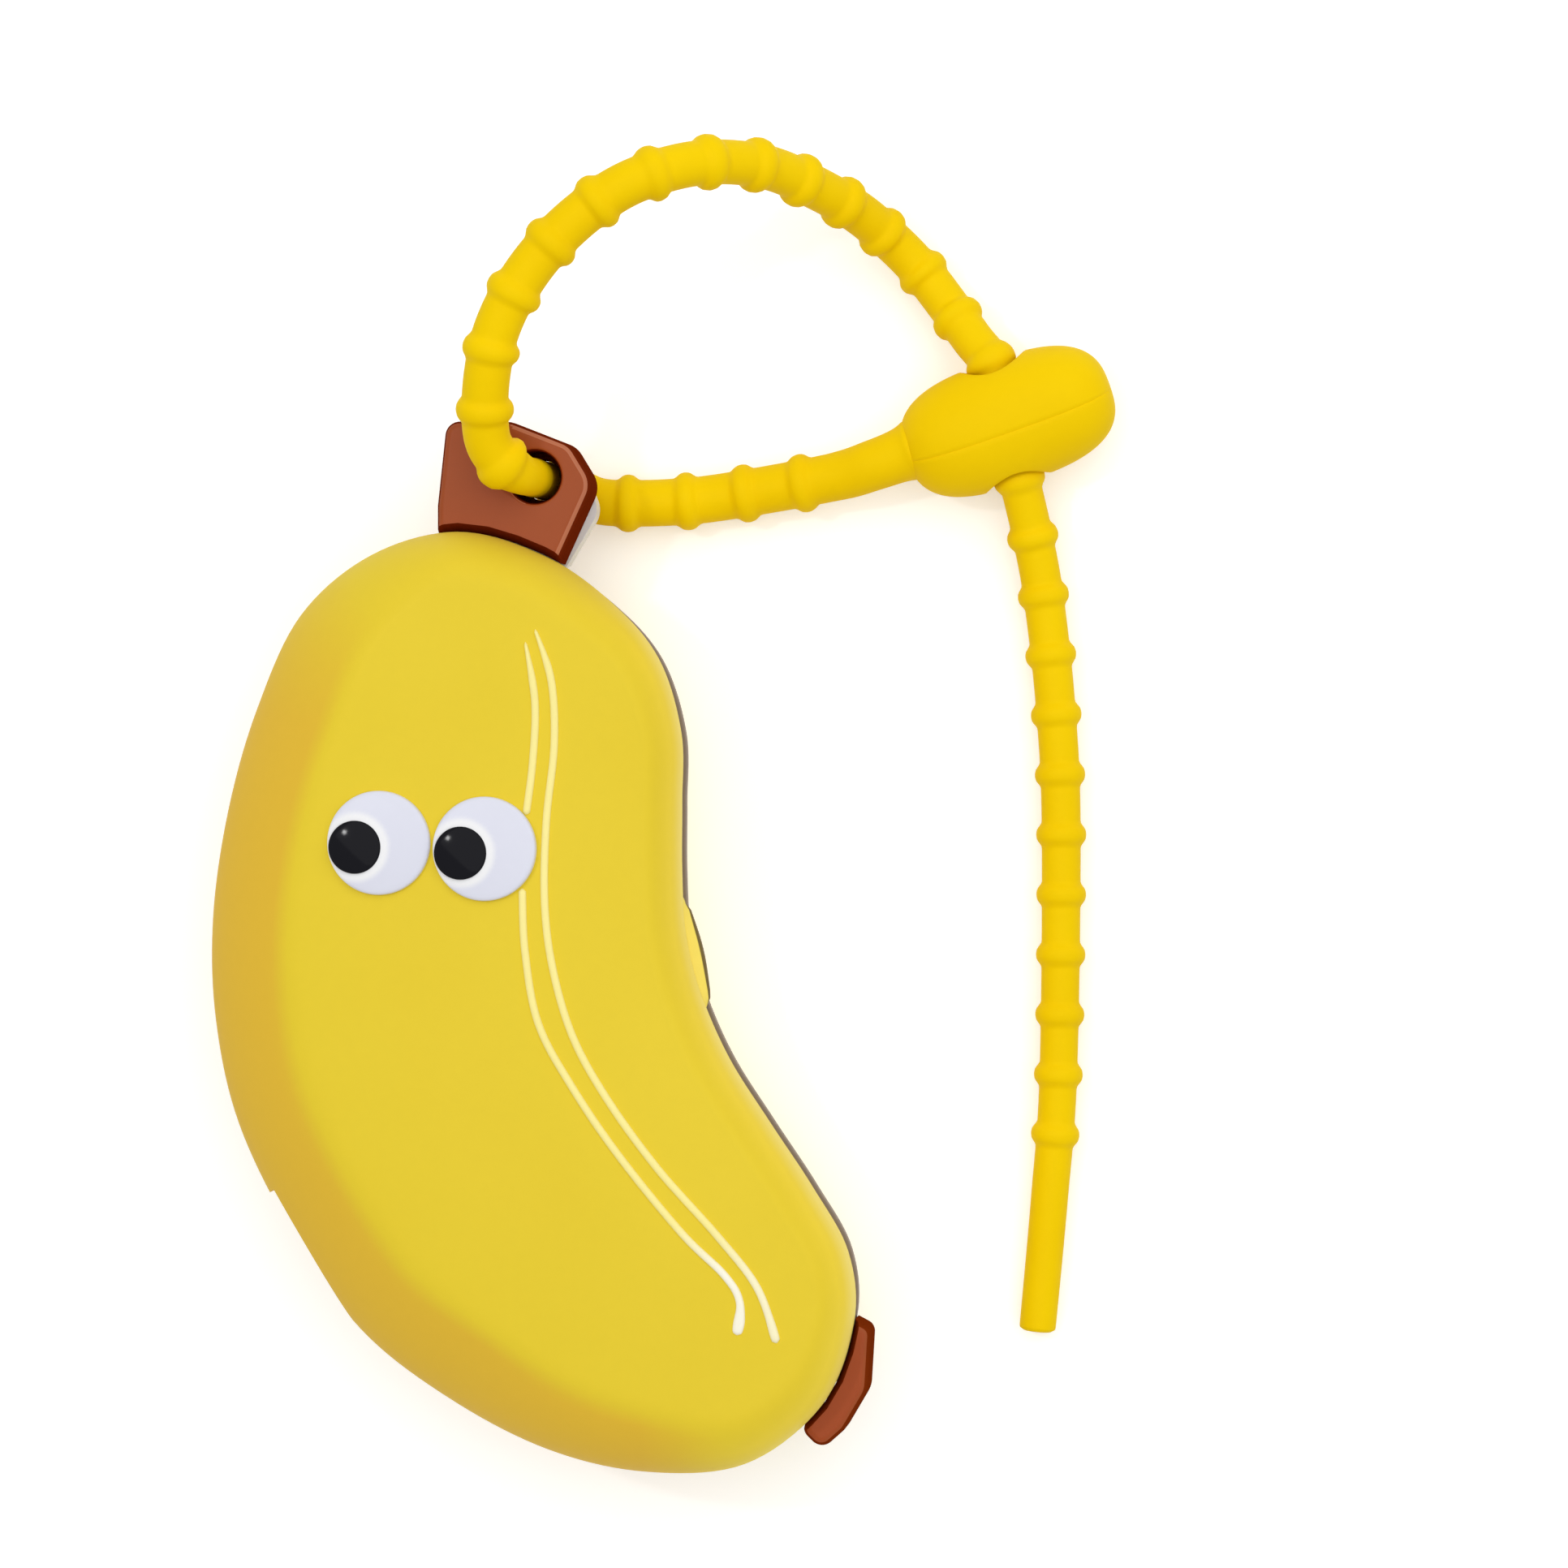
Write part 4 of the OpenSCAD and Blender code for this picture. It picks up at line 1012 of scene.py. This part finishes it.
# Strap and bead
STRAP = [
    (38.4, 52.5, 6.2), (34.4, 51.1, 5.8), (29.9, 49.9, 4.6), (19, 48.1, 3.3),
    (12.5, 47.4, 3.3), (5.3, 47.4, 3.4), (2.2, 48.4, 4.2), (0.3, 49.1, 6.4),
    (-0.3, 49.3, 9.5), (-0.5, 49.3, 13.5), (-0.7, 49.3, 17.8), (-1.5, 49.5, 20.6),
    (-3.1, 50.7, 22.5), (-4.3, 52.7, 23.8), (-4.4, 55.8, 25.2), (-3.9, 59.6, 26.6),
    (-2.8, 63.8, 27.6), (-0.6, 68.1, 28.2), (2.6, 72.3, 28.4), (6.7, 76.1, 28.2),
    (11.2, 78.9, 28), (16.2, 80.8, 26), (20.5, 81.6, 22.5), (24.7, 81.4, 18),
    (28.9, 79.9, 13.2), (32.9, 77.8, 8.5), (36.3, 75, 4.8), (39.4, 71.8, 3.4),
    (42.1, 68.3, 3.8), (44.7, 64.7, 5.2), (47.3, 61, 6.4), (48.6, 54.8, 6.1),
    (50, 49, 5.4), (51.3, 43, 3.8), (52.4, 36.5, 3), (53.6, 25.3, 2.8), (54.2, 12.3, 2.8),
    (53.9, -13.8, 2.7), (52.9, -27.6, 2.3), (51.6, -41.6, 2.1),
]
STRAP_R = 2.6
TAIL_R = 1.95
RIB_RISE = 0.6
RIB_PITCH = 6.4
NECK_LENGTH = 12.5
NECK_TAPER = 9.5
NECK_R = 2.8
NECK_FLARE = 0.5
FLARE_LENGTH = 0.9
PLAIN_TAIL = 21.2
END_ROUND = 0.45
STRAP_SIDES = 24
RIB_FLAT = 0.35
RIB_SIDE = 1.1
RIB_CROWN = 0.05
STEM_STRAP_R = 2.05
STEM_FADE_R = (0.8, 2.2)
STEM_FADE_Z = (7.4, 8.6)
STEM_RIB_RISE = 0.05
NECK_SUNK = 1
ROUTE_STEPS = 24
STATION = 0.25

route = spline(STRAP, ROUTE_STEPS)
route_run = np.concatenate([[0], np.cumsum(np.linalg.norm(np.diff(route, axis=0), axis=1))])
strap_length = route_run[-1]
ribbed_length = strap_length - NECK_LENGTH - PLAIN_TAIL
rib_count = round(ribbed_length / RIB_PITCH)
rib_step = ribbed_length / rib_count


def along_route(s):
    return np.array([np.interp(s, route_run, route[:, k]) for k in range(3)])


def stem_share(s):
    """1 where the strap is inside the stem, fading to 0 above and below it."""
    p = along_route(s)
    off = np.linalg.norm(p[:2] - STEM_HOLE)
    return float(np.interp(off, STEM_FADE_R, (1, 0)) * np.interp(p[2], STEM_FADE_Z, (0, 1)))


def strap_radius(s):
    """Radius of the strap at a distance along it: flared neck, ribs with plain stretches between, tail."""
    core = STRAP_R + (TAIL_R - STRAP_R) * s / strap_length
    if s < NECK_TAPER:
        blend = (max(s, 0) / NECK_TAPER) ** 1.5
        return NECK_R + (core - NECK_R) * blend + NECK_FLARE * math.exp(-max(s, 0) / FLARE_LENGTH)
    squeeze = stem_share(s)
    core += (STEM_STRAP_R - core) * squeeze
    left = strap_length - s
    if left < END_ROUND:
        core -= END_ROUND - math.sqrt(max(END_ROUND ** 2 - (END_ROUND - left) ** 2, 0))
    k = min(max(round((s - NECK_LENGTH) / rib_step), 0), rib_count)
    middle = NECK_LENGTH + k * rib_step
    top = core + RIB_RISE * (1 - squeeze) + STEM_RIB_RISE * squeeze
    off = abs(s - middle)
    if off < RIB_FLAT:
        return top - RIB_CROWN * (off / RIB_FLAT) ** 2
    share = min((off - RIB_FLAT) / RIB_SIDE, 1)
    return core + (top - RIB_CROWN - core) * (0.5 + 0.5 * math.cos(math.pi * share))


stations = np.linspace(-NECK_SUNK, strap_length, int(strap_length / STATION))
centres = np.array([along_route(s) for s in stations])
neck_way = (route[1] - route[0]) / route_run[1]
centres += np.minimum(stations, 0)[:, None] * neck_way
headings = np.gradient(centres, axis=0)
headings /= np.linalg.norm(headings, axis=1)[:, None]
side_way = np.cross(headings[0], (0, 0, 1))
side_way /= np.linalg.norm(side_way)
strap_verts = []
for i, s in enumerate(stations):
    side_way = side_way - headings[i] * (side_way @ headings[i])
    side_way /= np.linalg.norm(side_way)
    other = np.cross(headings[i], side_way)
    r = strap_radius(s)
    for k in range(STRAP_SIDES):
        a = 2 * math.pi * k / STRAP_SIDES
        strap_verts.append(centres[i] + (side_way * math.cos(a) + other * math.sin(a)) * r)
strap_faces = grid_faces(len(stations), STRAP_SIDES)
strap_faces.append(tuple(range(STRAP_SIDES))[::-1])
last = (len(stations) - 1) * STRAP_SIDES
strap_faces.append(tuple(range(last, last + STRAP_SIDES)))
strap = new_object("strap", strap_verts, strap_faces, 60)
outward(strap)
finished(strap, "back", silicone, "strap_silicone", "strap_band")

BEAD_MIDDLE = np.array((48.7, 55.6, 6.15))
BEAD_ANGLE = math.radians(19)
BEAD_LENGTH = 23
BEAD_R = 6.7
BEAD_FLAT = 0.91
BEAD_POWER = 2.8
BEAD_HOLE_MIDDLE = np.array((48.5, 55.2, 6.1))
BEAD_HOLE_R = 3.05
BEAD_HOLE_ANGLE = math.radians(12)
BEAD_HOLE_SLOPE = math.radians(5)
MOUTH_ROUND = 0.7
MOUTH_SINK = 0.5
SEAM_ANGLE = math.radians(105)
SEAM_DEPTH = 0.14
BEAD_ROWS = 120
BEAD_SIDES = 144

hole_turn = (Matrix.Rotation(BEAD_HOLE_ANGLE, 4, "Z")
             @ Matrix.Rotation(math.pi / 2 + BEAD_HOLE_SLOPE, 4, "X"))
hole_axis = np.array(hole_turn @ Vector((0, 0, 1)))
bead_turn = np.array(Matrix.Rotation(BEAD_ANGLE, 3, "Z"))
bead_verts = []
for j in range(1, BEAD_ROWS):
    a = math.pi * j / BEAD_ROWS
    c, s = -math.cos(a), math.sin(a)
    size = (abs(c) ** BEAD_POWER + s ** BEAD_POWER) ** (-1 / BEAD_POWER)
    x, r = c * size * BEAD_LENGTH / 2, s * size * BEAD_R
    for k in range(BEAD_SIDES):
        b = 2 * math.pi * k / BEAD_SIDES
        in_seam = k % (BEAD_SIDES // 2) == round(SEAM_ANGLE / (2 * math.pi) * BEAD_SIDES)
        q = r - (SEAM_DEPTH if in_seam else 0)
        bead_verts.append((x, q * math.cos(b), q * math.sin(b) * BEAD_FLAT))
bead_verts.append((-BEAD_LENGTH / 2, 0, 0))
bead_verts.append((BEAD_LENGTH / 2, 0, 0))
bead_points = np.array(bead_verts) @ bead_turn.T + BEAD_MIDDLE
# the mouths of the hole are rolled: the skin near them sinks towards the middle
from_hole = bead_points - BEAD_HOLE_MIDDLE
along_hole = from_hole @ hole_axis
off_axis = np.linalg.norm(from_hole - along_hole[:, None] * hole_axis, axis=1)
near = np.clip(1 - (off_axis - BEAD_HOLE_R) / MOUTH_ROUND, 0, 1)
bead_points -= (np.sign(along_hole) * MOUTH_SINK * near ** 2)[:, None] * hole_axis
bead_faces = grid_faces(BEAD_ROWS - 1, BEAD_SIDES)
first_pole, last_pole = len(bead_points) - 2, len(bead_points) - 1
for k in range(BEAD_SIDES):
    n = (k + 1) % BEAD_SIDES
    row = (BEAD_ROWS - 2) * BEAD_SIDES
    bead_faces.append((first_pole, n, k))
    bead_faces.append((last_pole, row + k, row + n))
bead = new_object("strap_end_bead", bead_points, bead_faces, 45)
outward(bead)
cutter = cylinder("bead_hole", BEAD_HOLE_R, -BEAD_LENGTH, BEAD_LENGTH, 96)
boolean(bead, moved(cutter, Matrix.Translation(BEAD_HOLE_MIDDLE) @ hole_turn))
finished(bead, "back", silicone, "strap_silicone", "strap_bead")

# Stage and light
FLOOR_SIZE = 3
floor_mesh = bpy.data.meshes.new("floor")
h = FLOOR_SIZE / 2
floor_mesh.from_pydata([(-h, -h, 0), (h, -h, 0), (h, h, 0), (-h, h, 0)], [], [(0, 1, 2, 3)])
floor = bpy.data.objects.new("floor", floor_mesh)
bpy.context.scene.collection.objects.link(floor)
floor_mat = bpy.data.materials.new("floor_pale")
floor_mat.use_nodes = True
floor_shader = floor_mat.node_tree.nodes["Principled BSDF"]
floor_shader.inputs["Base Color"].default_value = (0.93, 0.93, 0.93, 1)
floor_shader.inputs["Roughness"].default_value = 0.9
floor_shader.inputs["Specular IOR Level"].default_value = 0.1
floor_shader.inputs["Emission Color"].default_value = (1, 1, 1, 1)
# the floor looks white to the camera and in reflections, and keeps its shadows
SEEN_GLOW = 0.32


def seen_rays(tree):
    """1 for camera, glossy and transmission rays, else 0."""
    rays = tree.nodes.new("ShaderNodeLightPath")
    last = rays.outputs["Is Camera Ray"]
    for name in ("Is Glossy Ray", "Is Transmission Ray"):
        either = tree.nodes.new("ShaderNodeMath")
        either.operation = "MAXIMUM"
        tree.links.new(last, either.inputs[0])
        tree.links.new(rays.outputs[name], either.inputs[1])
        last = either.outputs[0]
    return last


def between(tree, low, high, target):
    """Sends low or high to a socket, high for the rays that are seen."""
    spread = tree.nodes.new("ShaderNodeMapRange")
    spread.inputs["To Min"].default_value = low
    spread.inputs["To Max"].default_value = high
    tree.links.new(seen_rays(tree), spread.inputs["Value"])
    tree.links.new(spread.outputs["Result"], target)


between(floor_mat.node_tree, 0, SEEN_GLOW, floor_shader.inputs["Emission Strength"])
floor_mesh.materials.append(floor_mat)

# the world lights the pieces softly, and looks white to the camera and in reflections
world = bpy.data.worlds.new("studio")
world.use_nodes = True
sky = world.node_tree.nodes["Background"]
sky.inputs["Color"].default_value = (1, 1, 1, 1)
SKY_LIGHT = 0.52
between(world.node_tree, SKY_LIGHT, 1, sky.inputs["Strength"])
bpy.context.scene.world = world
LAMP_AIM = Vector((0, 0, 15)) * MM


def area_light(name, where, size, power):
    """Square white lamp in metres and watts, turned to the case."""
    data = bpy.data.lights.new(name, "AREA")
    data.shape = "SQUARE"
    data.size = size
    data.energy = power
    lamp = bpy.data.objects.new(name, data)
    bpy.context.scene.collection.objects.link(lamp)
    lamp.location = where
    lamp.rotation_mode = "QUATERNION"
    lamp.rotation_quaternion = (LAMP_AIM - Vector(where)).to_track_quat("-Z", "Y")


area_light("key", (0.27, 0.30, 1.0), 1.5, 7.6)
area_light("glint", (-0.238, 0.149, 0.623), 0.036, 0.4)

bpy.context.scene.view_settings.view_transform = "Standard"
